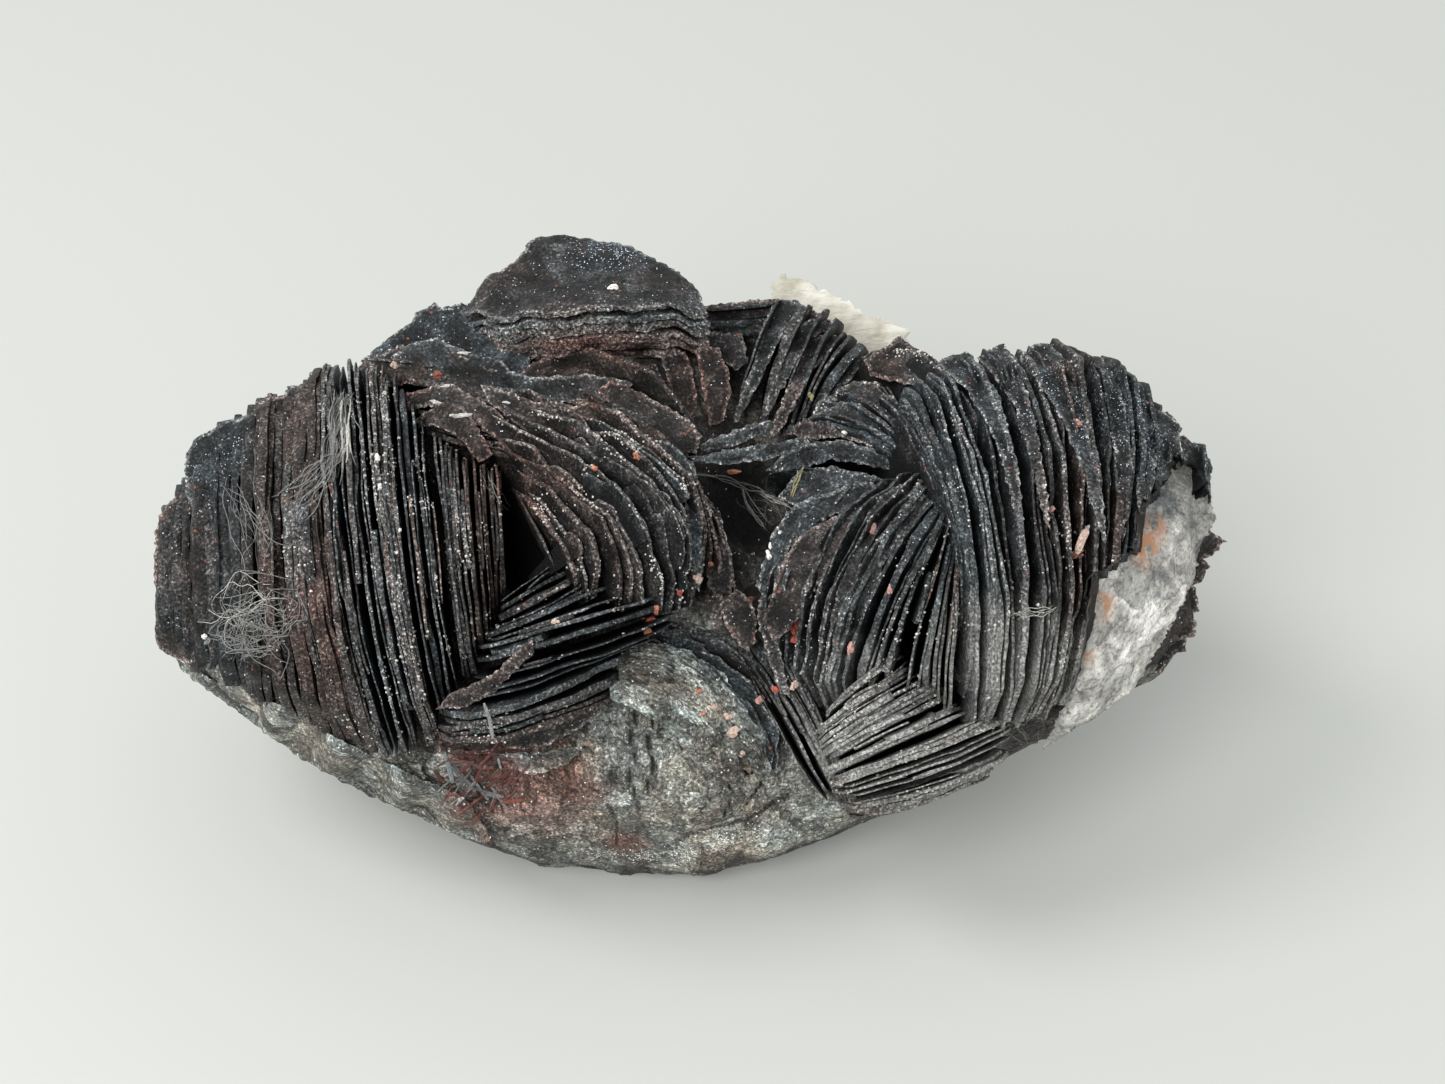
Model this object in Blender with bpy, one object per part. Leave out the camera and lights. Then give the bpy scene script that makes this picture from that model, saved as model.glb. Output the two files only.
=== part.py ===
# Specular hematite: a cluster of plate-like crystals grown into two rosettes, with a block of
# thick plates on top, a smooth hull underneath, and two pieces of pale matrix still attached.
#
# The plates are laid out on the show face, a sheet that leans back from the vertical. A point on
# it is (across, down, out): millimetres across from the left edge of the sheet, millimetres down
# from its top edge, and millimetres out of it towards the viewer. Across and down are as they
# look from EYE_DISTANCE in front of the sheet, so what stands further out is a little smaller.
# A plate is given by three points on its free edge: one end, the furthest point of its swell, and
# the other end. Between the two or more plates that are given, a family's others are worked out.

import math
import random

import bmesh
import bpy
from mathutils import Vector, noise

MM = 0.001

# The show face
LEAN = math.radians(40.0)
EYE_DISTANCE = 300.0
SHEET_MIDDLE = (72.25, 54.2)
SHEET_STANDS_AT = (4.54, -8.21, 37.0)

# Clearance between the hematite and each piece of matrix
GAP = 0.3

# How a plate's outline is drawn: the corners of its free edge, as shares of its half chord
FULL_RIM = (-0.72, -0.30, 0.18, 0.62)
PLAIN_RIM = (-0.60, 0.02, 0.60)
RIM_ROUNDNESS = 0.6
RIM_JITTER = 0.05
ROOT_SHARE = 0.42

# family: how many plates, their thickness, how far they run in behind the free edge, the corners
# of that edge, and the plates that are given, each as three points of its free edge
FAMILIES = {
    "left_stack": (11, 1.25, 16.0, FULL_RIM, (
        ((15.3, 52.5, -8.0), (15.2, 58.5, -3.0), (15.5, 64.0, -7.0)),
        ((17.9, 48.3, -8.0), (17.7, 57.5, 1.0), (18.3, 66.8, -6.0)),
        ((21.5, 43.2, -8.0), (21.3, 56.5, 5.0), (22.0, 69.6, -4.0)),
        ((26.0, 40.3, -7.0), (25.6, 56.5, 8.0), (27.5, 73.0, -3.0)),
        ((31.0, 38.3, -6.0), (30.6, 56.5, 10.5), (34.0, 76.3, -1.0)),
        ((34.0, 36.0, -5.0), (34.6, 56.0, 12.5), (39.0, 77.0, 1.0)),
        ((37.0, 37.0, -3.0), (38.6, 55.5, 14.0), (42.6, 75.5, 4.0)),
    )),
    "left_fan": (6, 0.8, 14.0, FULL_RIM, (
        ((39.5, 37.8, -1.0), (41.0, 54.0, 15.0), (44.0, 71.0, 8.0)),
        ((42.6, 42.5, 1.0), (43.8, 55.0, 15.0), (46.0, 68.5, 8.0)),
        ((45.2, 44.8, 1.0), (46.0, 55.0, 14.0), (47.6, 67.2, 7.0)),
        ((47.8, 46.0, 1.0), (48.2, 54.5, 12.0), (48.9, 63.5, 6.0)),
        ((49.8, 46.8, 0.0), (50.3, 53.0, 9.0), (50.2, 59.5, 4.0)),
    )),
    "left_shelves": (7, 0.9, 14.0, FULL_RIM, (
        ((50.2, 60.2, 4.0), (53.0, 58.1, 9.5), (55.6, 56.4, 5.0)),
        ((49.0, 63.0, 6.0), (54.3, 60.8, 12.5), (59.2, 58.6, 7.0)),
        ((47.4, 64.9, 7.0), (57.0, 62.8, 14.5), (65.3, 59.9, 7.0)),
        ((46.8, 68.4, 7.0), (57.5, 66.4, 15.0), (67.8, 61.8, 6.0)),
        ((44.0, 71.2, 7.0), (54.0, 69.9, 15.0), (62.8, 65.4, 6.0)),
        ((44.0, 73.6, 6.0), (53.5, 73.0, 12.5), (62.0, 69.3, 5.0)),
    )),
    "left_petals": (8, 0.85, 12.0, FULL_RIM, (
        ((50.9, 48.6, 0.0), (56.3, 54.2, 9.0), (57.9, 60.0, 7.0)),
        ((49.0, 46.0, -1.0), (58.0, 52.2, 10.0), (59.6, 60.2, 8.0)),
        ((46.5, 44.6, -2.0), (59.6, 50.6, 10.5), (62.2, 60.5, 8.0)),
        ((44.5, 43.2, -3.0), (61.5, 49.2, 11.0), (65.2, 60.6, 8.0)),
        ((44.5, 41.6, -4.0), (64.0, 48.4, 11.0), (67.0, 61.0, 7.0)),
        ((47.5, 40.2, -4.5), (66.2, 47.6, 10.0), (69.0, 61.2, 6.0)),
        ((55.0, 40.4, -4.0), (68.6, 46.4, 8.5), (70.6, 57.0, 4.0)),
        ((62.0, 42.0, -3.0), (71.6, 50.0, 5.0), (73.6, 60.5, 2.0)),
    )),
    "roof": (5, 1.0, 8.0, PLAIN_RIM, (
        ((38.0, 33.5, -10.0), (45.5, 34.0, -5.0), (52.5, 33.5, -9.0)),
        ((36.0, 36.0, -8.0), (42.0, 36.5, -2.0), (50.0, 37.5, -5.0)),
        ((39.0, 38.5, -5.0), (45.0, 39.6, 1.0), (52.0, 40.0, -3.0)),
        ((41.0, 41.0, -3.0), (47.0, 42.4, 3.0), (55.0, 43.5, -1.0)),
        ((42.0, 43.0, -2.0), (48.0, 44.6, 4.0), (55.0, 46.5, 1.0)),
    )),
    "lobes": (3, 1.2, 10.0, FULL_RIM, (
        ((50.0, 40.2, -5.0), (60.5, 40.2, 2.0), (67.0, 46.5, 3.0)),
        ((52.0, 38.2, -6.0), (62.2, 38.0, 1.0), (69.2, 46.0, 1.0)),
        ((52.6, 36.8, -8.0), (63.0, 36.0, 0.0), (70.0, 45.0, -1.0)),
    )),
    "hung_petals": (3, 1.2, 8.0, PLAIN_RIM, (
        ((65.0, 35.8, -10.0), (68.0, 38.8, -5.0), (68.6, 43.0, -8.0)),
        ((68.0, 34.6, -10.0), (70.9, 38.6, -5.0), (71.0, 43.0, -8.0)),
        ((70.6, 33.8, -10.0), (73.3, 38.0, -5.0), (72.6, 42.6, -8.0)),
    )),
    "rear_band": (2, 1.4, 8.0, PLAIN_RIM, (
        ((70.0, 31.2, -14.0), (75.0, 30.6, -10.0), (79.0, 30.2, -13.0)),
        ((70.0, 34.2, -16.0), (74.5, 33.8, -12.0), (78.0, 33.6, -15.0)),
    )),
    "leaning": (5, 1.0, 8.0, PLAIN_RIM, (
        ((73.5, 43.2, -9.0), (74.9, 36.3, -5.0), (78.3, 30.0, -13.0)),
        ((76.8, 43.0, -9.0), (78.2, 36.5, -5.0), (81.3, 30.5, -14.0)),
        ((79.0, 43.5, -8.0), (80.6, 37.5, -4.5), (84.0, 32.2, -13.0)),
        ((81.0, 42.5, -8.0), (83.0, 38.0, -5.0), (86.5, 35.0, -12.0)),
    )),
    "blades": (2, 0.7, 8.0, PLAIN_RIM, (
        ((69.8, 43.7, -4.0), (73.4, 42.9, 1.0), (76.4, 41.2, -4.0)),
        ((68.8, 45.9, -1.0), (75.5, 45.2, 3.0), (81.0, 43.4, -2.0)),
    )),
    "right_petals": (6, 0.85, 10.0, FULL_RIM, (
        ((77.0, 48.8, -4.0), (82.6, 46.9, 3.0), (89.0, 49.6, 1.0)),
        ((78.0, 46.6, -5.0), (83.6, 44.3, 2.5), (90.6, 48.0, 2.0)),
        ((79.0, 43.9, -7.0), (84.4, 42.4, 1.5), (91.4, 47.0, 3.0)),
        ((81.8, 42.0, -8.0), (86.2, 40.6, 1.0), (92.0, 46.5, 4.0)),
        ((84.0, 39.6, -8.0), (88.2, 39.4, 1.0), (92.4, 46.0, 5.0)),
        ((87.5, 37.8, -7.0), (90.6, 41.2, 3.0), (93.0, 46.5, 6.0)),
    )),
    "right_fan": (8, 0.9, 12.0, FULL_RIM, (
        ((86.0, 48.8, 2.0), (78.6, 54.5, 9.0), (77.5, 65.5, 3.0)),
        ((88.5, 48.2, 4.0), (80.2, 56.5, 11.0), (80.5, 69.5, 4.0)),
        ((93.0, 46.4, 6.0), (83.6, 56.0, 13.0), (82.5, 71.0, 6.0)),
        ((94.0, 49.3, 7.0), (87.0, 58.5, 14.0), (84.0, 71.3, 7.0)),
        ((95.3, 50.2, 8.0), (90.2, 58.5, 14.5), (86.5, 69.5, 8.0)),
        ((95.5, 51.2, 8.0), (93.2, 60.0, 15.0), (91.5, 69.0, 9.0)),
        ((95.8, 52.0, 8.0), (95.6, 61.0, 15.0), (95.0, 71.0, 9.0)),
    )),
    "apex": (1, 1.2, 10.0, FULL_RIM, (
        ((86.4, 36.3, -8.0), (92.6, 35.6, -1.0), (98.0, 45.5, 6.0)),
    )),
    "right_stack": (13, 1.2, 15.0, FULL_RIM, (
        ((91.8, 38.0, 2.0), (97.6, 54.0, 15.0), (97.0, 73.2, 7.0)),
        ((95.2, 36.4, 0.0), (100.8, 54.0, 15.0), (99.8, 73.0, 6.0)),
        ((99.6, 34.8, -2.0), (105.2, 53.0, 13.5), (102.6, 72.2, 5.0)),
        ((104.8, 34.4, -4.0), (109.6, 52.5, 11.5), (105.5, 71.0, 4.0)),
        ((109.8, 35.6, -6.0), (113.0, 51.5, 8.5), (108.5, 68.0, 2.0)),
        ((114.8, 39.2, -8.0), (116.6, 50.5, 4.5), (113.5, 63.0, -1.0)),
        ((119.5, 44.4, -10.0), (121.2, 50.0, -1.0), (119.0, 57.5, -6.0)),
    )),
    "right_shelves": (7, 0.9, 12.0, FULL_RIM, (
        ((82.5, 71.3, 8.0), (86.2, 68.2, 13.0), (89.6, 65.6, 8.0)),
        ((82.0, 73.4, 8.0), (87.5, 69.9, 14.0), (91.8, 67.2, 8.0)),
        ((82.2, 75.3, 7.0), (88.5, 71.6, 13.5), (94.2, 68.6, 7.0)),
        ((83.0, 77.0, 6.0), (89.8, 74.0, 12.5), (95.8, 70.8, 7.0)),
        ((83.4, 78.4, 4.0), (92.0, 76.0, 11.0), (101.4, 71.9, 4.0)),
        ((84.0, 79.8, 2.0), (92.5, 78.4, 8.0), (101.0, 74.4, 2.0)),
        ((85.2, 81.4, -1.0), (91.5, 80.9, 3.0), (98.5, 77.6, -1.0)),
    )),
    "valley": (3, 0.9, 10.0, PLAIN_RIM, (
        ((70.8, 60.2, 3.0), (75.8, 69.5, 7.0), (82.2, 79.6, 1.0)),
        ((72.6, 59.4, 3.0), (77.6, 68.8, 7.5), (83.6, 79.4, 1.0)),
        ((75.0, 59.6, 3.0), (79.6, 69.0, 8.0), (85.2, 80.8, 0.0)),
        ((77.2, 61.5, 3.0), (81.2, 70.0, 7.5), (86.0, 81.6, -1.0)),
    )),
    "shells": (4, 1.1, 10.0, FULL_RIM, (
        ((65.5, 62.6, -1.0), (74.8, 65.6, 3.0), (78.8, 74.5, -1.0)),
        ((61.5, 64.2, 2.0), (73.2, 67.0, 5.5), (77.6, 77.2, 1.0)),
        ((60.5, 66.6, 3.0), (70.6, 70.4, 7.0), (75.6, 78.6, 2.0)),
        ((59.5, 69.6, 3.5), (68.5, 71.6, 8.0), (73.4, 79.5, 3.0)),
    )),
    "right_rear": (5, 1.2, 10.0, PLAIN_RIM, (
        ((119.5, 47.0, -12.0), (122.4, 54.0, -9.0), (120.5, 58.0, -12.0)),
        ((119.0, 53.0, -12.0), (120.8, 59.5, -9.0), (118.5, 64.0, -11.0)),
        ((117.5, 58.0, -11.0), (119.4, 63.2, -9.0), (115.0, 68.8, -9.0)),
    )),
    "back_left": (7, 1.4, 14.0, PLAIN_RIM, (
        ((22.0, 46.0, -12.0), (20.5, 56.0, -22.0), (22.0, 66.0, -12.0)),
        ((32.0, 41.0, -18.0), (30.5, 56.0, -33.0), (33.0, 70.0, -20.0)),
        ((46.0, 38.0, -22.0), (44.0, 54.0, -38.0), (48.0, 70.0, -26.0)),
    )),
    "back_shelves": (8, 1.4, 14.0, PLAIN_RIM, (
        ((46.0, 33.0, -18.0), (60.0, 34.0, -31.0), (74.0, 35.0, -20.0)),
        ((46.0, 45.0, -26.0), (60.0, 46.0, -39.0), (74.0, 47.0, -26.0)),
        ((48.0, 60.0, -30.0), (61.0, 60.0, -40.0), (74.0, 60.0, -30.0)),
        ((50.0, 75.0, -29.0), (61.0, 76.5, -38.0), (73.0, 75.0, -29.0)),
    )),
    "back_right": (8, 1.4, 14.0, PLAIN_RIM, (
        ((72.0, 40.0, -24.0), (78.0, 52.0, -38.0), (74.0, 68.0, -28.0)),
        ((88.0, 39.0, -20.0), (92.0, 53.0, -36.0), (87.0, 70.0, -26.0)),
        ((104.0, 40.0, -16.0), (107.0, 53.0, -30.0), (103.0, 68.0, -20.0)),
        ((116.0, 45.0, -14.0), (118.0, 54.0, -21.0), (115.0, 63.0, -15.0)),
    )),
    "under_left": (7, 1.3, 9.0, PLAIN_RIM, (
        ((21.0, 63.5, -2.5), (21.5, 70.2, -9.0), (21.0, 63.5, -15.5)),
        ((30.0, 68.0, 0.7), (32.0, 77.4, -11.0), (31.0, 68.0, -23.0)),
        ((42.0, 72.0, 1.9), (44.5, 84.4, -12.5), (43.0, 72.0, -27.5)),
    )),
    "under_right": (6, 1.3, 9.0, PLAIN_RIM, (
        ((92.0, 70.5, 1.5), (93.0, 81.6, -12.5), (92.0, 70.5, -27.5)),
        ((104.0, 67.0, 1.0), (104.5, 77.2, -11.5), (104.0, 67.0, -24.5)),
        ((115.5, 63.0, -4.0), (116.0, 70.2, -11.0), (115.5, 63.0, -17.5)),
    )),
}

# The block on top: its cap plate's outline, then lower plates that step back under it
BLOCK_OUTLINE = (
    (46.2, 30.4, -7.0), (50.0, 27.0, -6.5), (53.8, 23.8, -9.5), (56.4, 23.1, -10.0),
    (61.0, 24.2, -9.0), (66.4, 26.2, -7.0), (69.4, 28.0, -5.0), (70.8, 31.2, -3.0),
    (66.0, 30.4, 0.5), (60.0, 30.6, 1.2), (54.0, 31.2, 0.5), (49.0, 31.6, -2.5),
)
BLOCK_PLATES = 5
BLOCK_PLATE = 1.25
BLOCK_DROP = 1.45
BLOCK_SHRINK = 0.035

# The hull: sections across the specimen, each (across, top, bottom, front, back)
HULL_SECTIONS = (
    (16.2, 54.0, 63.0, -4.5, -11.0),
    (19.0, 48.5, 67.3, -2.5, -15.0),
    (24.0, 44.0, 71.2, 0.0, -20.0),
    (30.0, 41.0, 75.6, 2.0, -24.5),
    (38.0, 39.5, 80.2, 3.5, -28.0),
    (46.0, 37.0, 84.2, 3.5, -30.5),
    (54.0, 33.5, 86.8, 2.5, -32.5),
    (62.0, 31.5, 87.7, 2.5, -33.5),
    (70.0, 33.0, 87.9, 2.5, -33.5),
    (78.0, 36.5, 86.2, 2.0, -32.5),
    (86.0, 39.0, 82.6, 3.0, -31.0),
    (94.0, 39.0, 79.0, 4.0, -29.0),
    (102.0, 39.5, 75.6, 4.0, -26.5),
    (110.0, 42.5, 71.6, 1.0, -22.5),
    (116.0, 47.0, 67.5, -3.0, -18.5),
    (119.6, 52.0, 62.5, -7.0, -14.5),
)
HULL_SQUARENESS = 2.25
HULL_POINTS = 14

# The flat that the specimen rests on is cut at floor level
FLOOR_CUTTER = (150.0, 120.0, 40.0)

# Pale crust on the right flank: outline across and down, as a slab whose face falls away
CRUST_OUTLINE = (
    (117.4, 45.6), (119.0, 46.2), (120.9, 49.4), (121.5, 51.8), (120.2, 54.6), (119.4, 58.0),
    (117.4, 61.8), (115.4, 65.6), (113.0, 69.4), (108.8, 72.2), (104.2, 75.0), (106.6, 70.6),
    (107.9, 66.4), (108.8, 62.0), (109.2, 58.0), (112.0, 56.0), (114.0, 54.6), (113.6, 51.4),
    (115.6, 49.4),
)
CRUST_FACE_AT = (109.0, 58.0)
CRUST_FACE_OUT = 5.5
CRUST_FALL = 0.85
CRUST_BEND = 0.03
CRUST_THICKNESS = 4.0
CRUST_RELIEF = 0.8

# Pale flake that stands up behind the top edge, rooted in a slot in the hull
FLAKE_OUTLINE = (
    (77.0, 28.3), (78.3, 27.5), (80.2, 27.7), (82.0, 29.0), (85.0, 30.1), (86.8, 31.7),
    (88.6, 32.0), (90.8, 33.3), (91.2, 35.0), (90.2, 40.0), (88.0, 45.0), (83.0, 45.5),
    (80.0, 41.0), (78.4, 34.0),
)
FLAKE_OUT = -19.0
FLAKE_THICKNESS = 2.2
FLAKE_RELIEF = 0.5

# part: base colour, roughness, metallic
MATERIALS = {
    "specular_hematite": ((0.055, 0.050, 0.052, 1.0), 0.42, 0.65),
    "pale_matrix": ((0.62, 0.58, 0.52, 1.0), 0.60, 0.0),
}


def face_point(across, down, out):
    """A sheet point in the sheet's own directions: right, up and out, in millimetres."""
    nearness = 1.0 - out / EYE_DISTANCE
    right = (across - SHEET_MIDDLE[0]) * nearness
    up = (SHEET_MIDDLE[1] - down) * nearness
    return Vector((right, up, out))


def world(point):
    """From the sheet's directions in millimetres to world metres."""
    right, up, out = point
    x = SHEET_STANDS_AT[0] + right
    y = SHEET_STANDS_AT[1] + up * math.sin(LEAN) - out * math.cos(LEAN)
    z = SHEET_STANDS_AT[2] + up * math.cos(LEAN) + out * math.sin(LEAN)
    return Vector((x, y, z)) * MM


def clear_scene():
    for obj in list(bpy.data.objects):
        bpy.data.objects.remove(obj, do_unlink=True)


def make_collection(name):
    collection = bpy.data.collections.new(name)
    bpy.context.scene.collection.children.link(collection)
    return collection


def make_material(name):
    colour, roughness, metallic = MATERIALS[name]
    material = bpy.data.materials.new(name)
    material.use_nodes = True
    shader = material.node_tree.nodes["Principled BSDF"]
    shader.inputs["Base Color"].default_value = colour
    shader.inputs["Roughness"].default_value = roughness
    shader.inputs["Metallic"].default_value = metallic
    material.diffuse_color = colour
    return material


def object_from(bm, name, collection, helper=False):
    """A mesh object from a bmesh. A helper is a cutter or a piece to be joined."""
    bmesh.ops.recalc_face_normals(bm, faces=bm.faces)
    mesh = bpy.data.meshes.new(name)
    bm.to_mesh(mesh)
    bm.free()
    obj = bpy.data.objects.new(name, mesh)
    collection.objects.link(obj)
    if helper:
        obj.hide_render = True
        obj.display_type = "WIRE"
    return obj


def prism(outline, depth):
    """A closed slab: a flat or nearly flat outline, drawn out by depth, a vector."""
    bm = bmesh.new()
    face = bm.faces.new([bm.verts.new(point) for point in outline])
    drawn = bmesh.ops.extrude_face_region(bm, geom=[face], use_keep_orig=True)
    far_side = [v for v in drawn["geom"] if isinstance(v, bmesh.types.BMVert)]
    bmesh.ops.translate(bm, vec=depth, verts=far_side)
    return bm


def between(keys, share):
    """The three free-edge points of the plate that lies this share of the way along a family."""
    if len(keys) == 1:
        return [Vector(point) for point in keys[0]]
    place = share * (len(keys) - 1)
    index = min(int(place), len(keys) - 2)
    part = place - index
    return [Vector(a).lerp(Vector(b), part) for a, b in zip(keys[index], keys[index + 1])]


def swell(position, furthest):
    """Height of the free edge, as a share, at a position along the chord from -1 to 1."""
    side = position - furthest
    reach = 1.0 + furthest if side < 0 else 1.0 - furthest
    return max(0.0, 1.0 - (side / reach) ** 2) ** RIM_ROUNDNESS


def plate_outline(start, peak, end, root, steps, chance):
    """The outline of a plate in its own plane, and that plane's normal."""
    start, peak, end = (face_point(*point) for point in (start, peak, end))
    middle = (start + end) / 2
    half = (end - start).length / 2
    along = (end - start).normalized()
    outward = peak - middle
    furthest = max(-0.6, min(0.6, outward.dot(along) / half))
    outward = outward - along * outward.dot(along)
    height = outward.length
    outward.normalize()
    outline = [middle - along * half]
    for step in steps:
        position = step + chance.uniform(-RIM_JITTER, RIM_JITTER)
        rise = height * swell(position, furthest) * (1 + chance.uniform(-RIM_JITTER, RIM_JITTER))
        outline.append(middle + along * half * position + outward * rise)
    outline.append(middle + along * half)
    outline.append(middle + along * half * ROOT_SHARE - outward * root)
    outline.append(middle - along * half * ROOT_SHARE - outward * root)
    return outline, along.cross(outward).normalized()


def add_plates(name, collection):
    count, thickness, root, steps, keys = FAMILIES[name]
    chance = random.Random(name)
    for number in range(count):
        share = number / max(1, count - 1)
        start, peak, end = between(keys, share)
        outline, normal = plate_outline(start, peak, end, root, steps, chance)
        half_thickness = normal * thickness / 2
        near_side = [world(point - half_thickness) for point in outline]
        depth = world(2 * half_thickness) - world(Vector((0, 0, 0)))
        bm = prism(near_side, depth)
        object_from(bm, f"{name}_{number:02d}", collection, helper=True)


def add_block(collection):
    """The thick plates on top: the cap's outline, repeated below and drawn in a little each time."""
    outline = [face_point(*point) for point in BLOCK_OUTLINE]
    centre = sum(outline, Vector()) / len(outline)
    down = Vector((0, -math.cos(LEAN), -math.sin(LEAN)))
    for number in range(BLOCK_PLATES):
        shrink = 1 - BLOCK_SHRINK * number
        level = [world(centre + (p - centre) * shrink + down * BLOCK_DROP * number) for p in outline]
        depth = Vector((0, 0, -BLOCK_PLATE * MM))
        object_from(prism(level, depth), f"block_{number}", collection, helper=True)
    # The stem joins the plates and ties them to the hull
    stem = [world(centre + (p - centre) * 0.72 + down * 0.4) for p in outline]
    object_from(prism(stem, Vector((0, 0, -16 * MM))), "block_stem", collection, helper=True)


def hull_ring(section):
    """One section of the hull, a rounded box standing across the sheet."""
    across, top, bottom, front, back = section
    ring = []
    for step in range(HULL_POINTS):
        angle = 2 * math.pi * step / HULL_POINTS
        cosine, sine = math.cos(angle), math.sin(angle)
        power = 2 / HULL_SQUARENESS
        rise = math.copysign(abs(cosine) ** power, cosine)
        reach = math.copysign(abs(sine) ** power, sine)
        down = (top + bottom) / 2 - rise * (bottom - top) / 2
        out = (front + back) / 2 + reach * (front - back) / 2
        ring.append(world(face_point(across, down, out)))
    return ring


def make_hull(collection):
    bm = bmesh.new()
    rings = [[bm.verts.new(point) for point in hull_ring(section)] for section in HULL_SECTIONS]
    for ring, following in zip(rings, rings[1:]):
        for step in range(HULL_POINTS):
            ahead = (step + 1) % HULL_POINTS
            bm.faces.new((ring[step], ring[ahead], following[ahead], following[step]))
    bm.faces.new(rings[0])
    bm.faces.new(rings[-1])
    bmesh.ops.triangulate(bm, faces=bm.faces)
    return object_from(bm, "hematite_cluster", collection)


def grown(outline, by):
    """A flat outline with each corner moved outward along its own bisector."""
    centre_turn = sum(
        a[0] * b[1] - b[0] * a[1] for a, b in zip(outline, outline[1:] + outline[:1])
    )
    sign = 1 if centre_turn > 0 else -1
    moved = []
    for index, corner in enumerate(outline):
        before = Vector(corner) - Vector(outline[index - 1])
        after = Vector(outline[(index + 1) % len(outline)]) - Vector(corner)
        tangent = (before.normalized() + after.normalized()).normalized()
        outward = Vector((tangent.y, -tangent.x)) * sign
        moved.append(tuple(Vector(corner) + outward * by))
    return moved


def crust_out(across, down):
    """How far out the crust's face lies, falling away to the right and to top and bottom."""
    side = max(0.0, across - CRUST_FACE_AT[0])
    return CRUST_FACE_OUT - CRUST_FALL * side - CRUST_BEND * (down - CRUST_FACE_AT[1]) ** 2


def flake_out(across, down):
    return FLAKE_OUT


def slab(outline, out_at, behind, ahead=0.0):
    """A slab between two copies of an outline, at out_at minus behind and plus ahead."""
    bm = bmesh.new()
    far = [bm.verts.new(world(face_point(a, d, out_at(a, d) - behind))) for a, d in outline]
    near = [bm.verts.new(world(face_point(a, d, out_at(a, d) + ahead))) for a, d in outline]
    bm.faces.new(far)
    bm.faces.new(near)
    for index in range(len(outline)):
        ahead_of = (index + 1) % len(outline)
        bm.faces.new((far[index], far[ahead_of], near[ahead_of], near[index]))
    bmesh.ops.triangulate(bm, faces=bm.faces)
    return bm


def roughen(bm, relief, cuts, cell):
    """Breaks the faces up and pushes every point inwards by up to relief, as a broken surface."""
    bmesh.ops.subdivide_edges(bm, edges=bm.edges, cuts=cuts, use_grid_fill=True)
    bmesh.ops.triangulate(bm, faces=bm.faces)
    bmesh.ops.recalc_face_normals(bm, faces=bm.faces)
    bm.normal_update()
    pushes = []
    for vert in bm.verts:
        depth = 0.5 + 0.5 * noise.noise(vert.co / (cell * MM))
        pushes.append((vert, vert.normal * depth * relief * MM))
    for vert, push in pushes:
        vert.co -= push


def make_matrix(name, outline, out_at, thickness, relief, collection):
    bm = slab(outline, out_at, thickness)
    roughen(bm, relief, cuts=1, cell=3.0)
    return object_from(bm, name, collection)


def make_pocket(name, outline, out_at, thickness, ahead, collection):
    bm = slab(grown(outline, GAP), out_at, thickness + GAP, ahead)
    return object_from(bm, name, collection, helper=True)


def make_floor_cutter(collection):
    bm = bmesh.new()
    bmesh.ops.create_cube(bm, size=1.0)
    bmesh.ops.scale(bm, vec=Vector(FLOOR_CUTTER) * MM, verts=bm.verts)
    bmesh.ops.translate(bm, vec=Vector((0, 0, -FLOOR_CUTTER[2] / 2)) * MM, verts=bm.verts)
    return object_from(bm, "floor_cutter", collection, helper=True)


def island_volume(faces):
    total = 0.0
    for face in faces:
        a, b, c = (vert.co for vert in face.verts)
        total += a.dot(b.cross(c)) / 6
    return total


def keep_main_body(bm):
    """Fills sealed hollows and drops loose chips: only the outer skin of the main body stays."""
    left = set(bm.faces)
    islands = []
    while left:
        seed = left.pop()
        island, edge_of = [seed], [seed]
        while edge_of:
            face = edge_of.pop()
            for edge in face.edges:
                for other in edge.link_faces:
                    if other in left:
                        left.remove(other)
                        island.append(other)
                        edge_of.append(other)
        islands.append(island)
    islands.sort(key=island_volume)
    doomed = [face for island in islands[:-1] for face in island]
    bmesh.ops.delete(bm, geom=doomed, context="FACES")


def apply_and_clean(obj):
    """Turns the modifiers' result into the object's own mesh and keeps its main body."""
    graph = bpy.context.evaluated_depsgraph_get()
    mesh = bpy.data.meshes.new_from_object(obj.evaluated_get(graph))
    obj.modifiers.clear()
    obj.data = mesh
    bm = bmesh.new()
    bm.from_mesh(mesh)
    bmesh.ops.triangulate(bm, faces=bm.faces)
    keep_main_body(bm)
    bm.to_mesh(mesh)
    bm.free()


def boolean(obj, operation, other=None, group=None):
    modifier = obj.modifiers.new(operation.lower(), "BOOLEAN")
    modifier.operation = operation
    modifier.solver = "EXACT"
    if group is not None:
        modifier.operand_type = "COLLECTION"
        modifier.collection = group
    else:
        modifier.object = other


def main():
    clear_scene()
    specimen = make_collection("specular_hematite")
    plates = make_collection("plates")
    cutters = make_collection("cutters")

    hematite = make_hull(specimen)
    for name in FAMILIES:
        add_plates(name, plates)
    add_block(plates)
    boolean(hematite, "UNION", group=plates)
    boolean(hematite, "DIFFERENCE", other=make_pocket(
        "crust_pocket", CRUST_OUTLINE, crust_out, CRUST_THICKNESS, 25.0, cutters))
    boolean(hematite, "DIFFERENCE", other=make_pocket(
        "flake_pocket", FLAKE_OUTLINE, flake_out, FLAKE_THICKNESS, GAP, cutters))
    boolean(hematite, "DIFFERENCE", other=make_floor_cutter(cutters))
    apply_and_clean(hematite)

    crust = make_matrix(
        "matrix_crust", CRUST_OUTLINE, crust_out, CRUST_THICKNESS, CRUST_RELIEF, specimen)
    flake = make_matrix(
        "matrix_flake", FLAKE_OUTLINE, flake_out, FLAKE_THICKNESS, FLAKE_RELIEF, specimen)

    hematite.data.materials.append(make_material("specular_hematite"))
    pale = make_material("pale_matrix")
    crust.data.materials.append(pale)
    flake.data.materials.append(pale)


main()
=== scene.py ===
import math
import random

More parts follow.
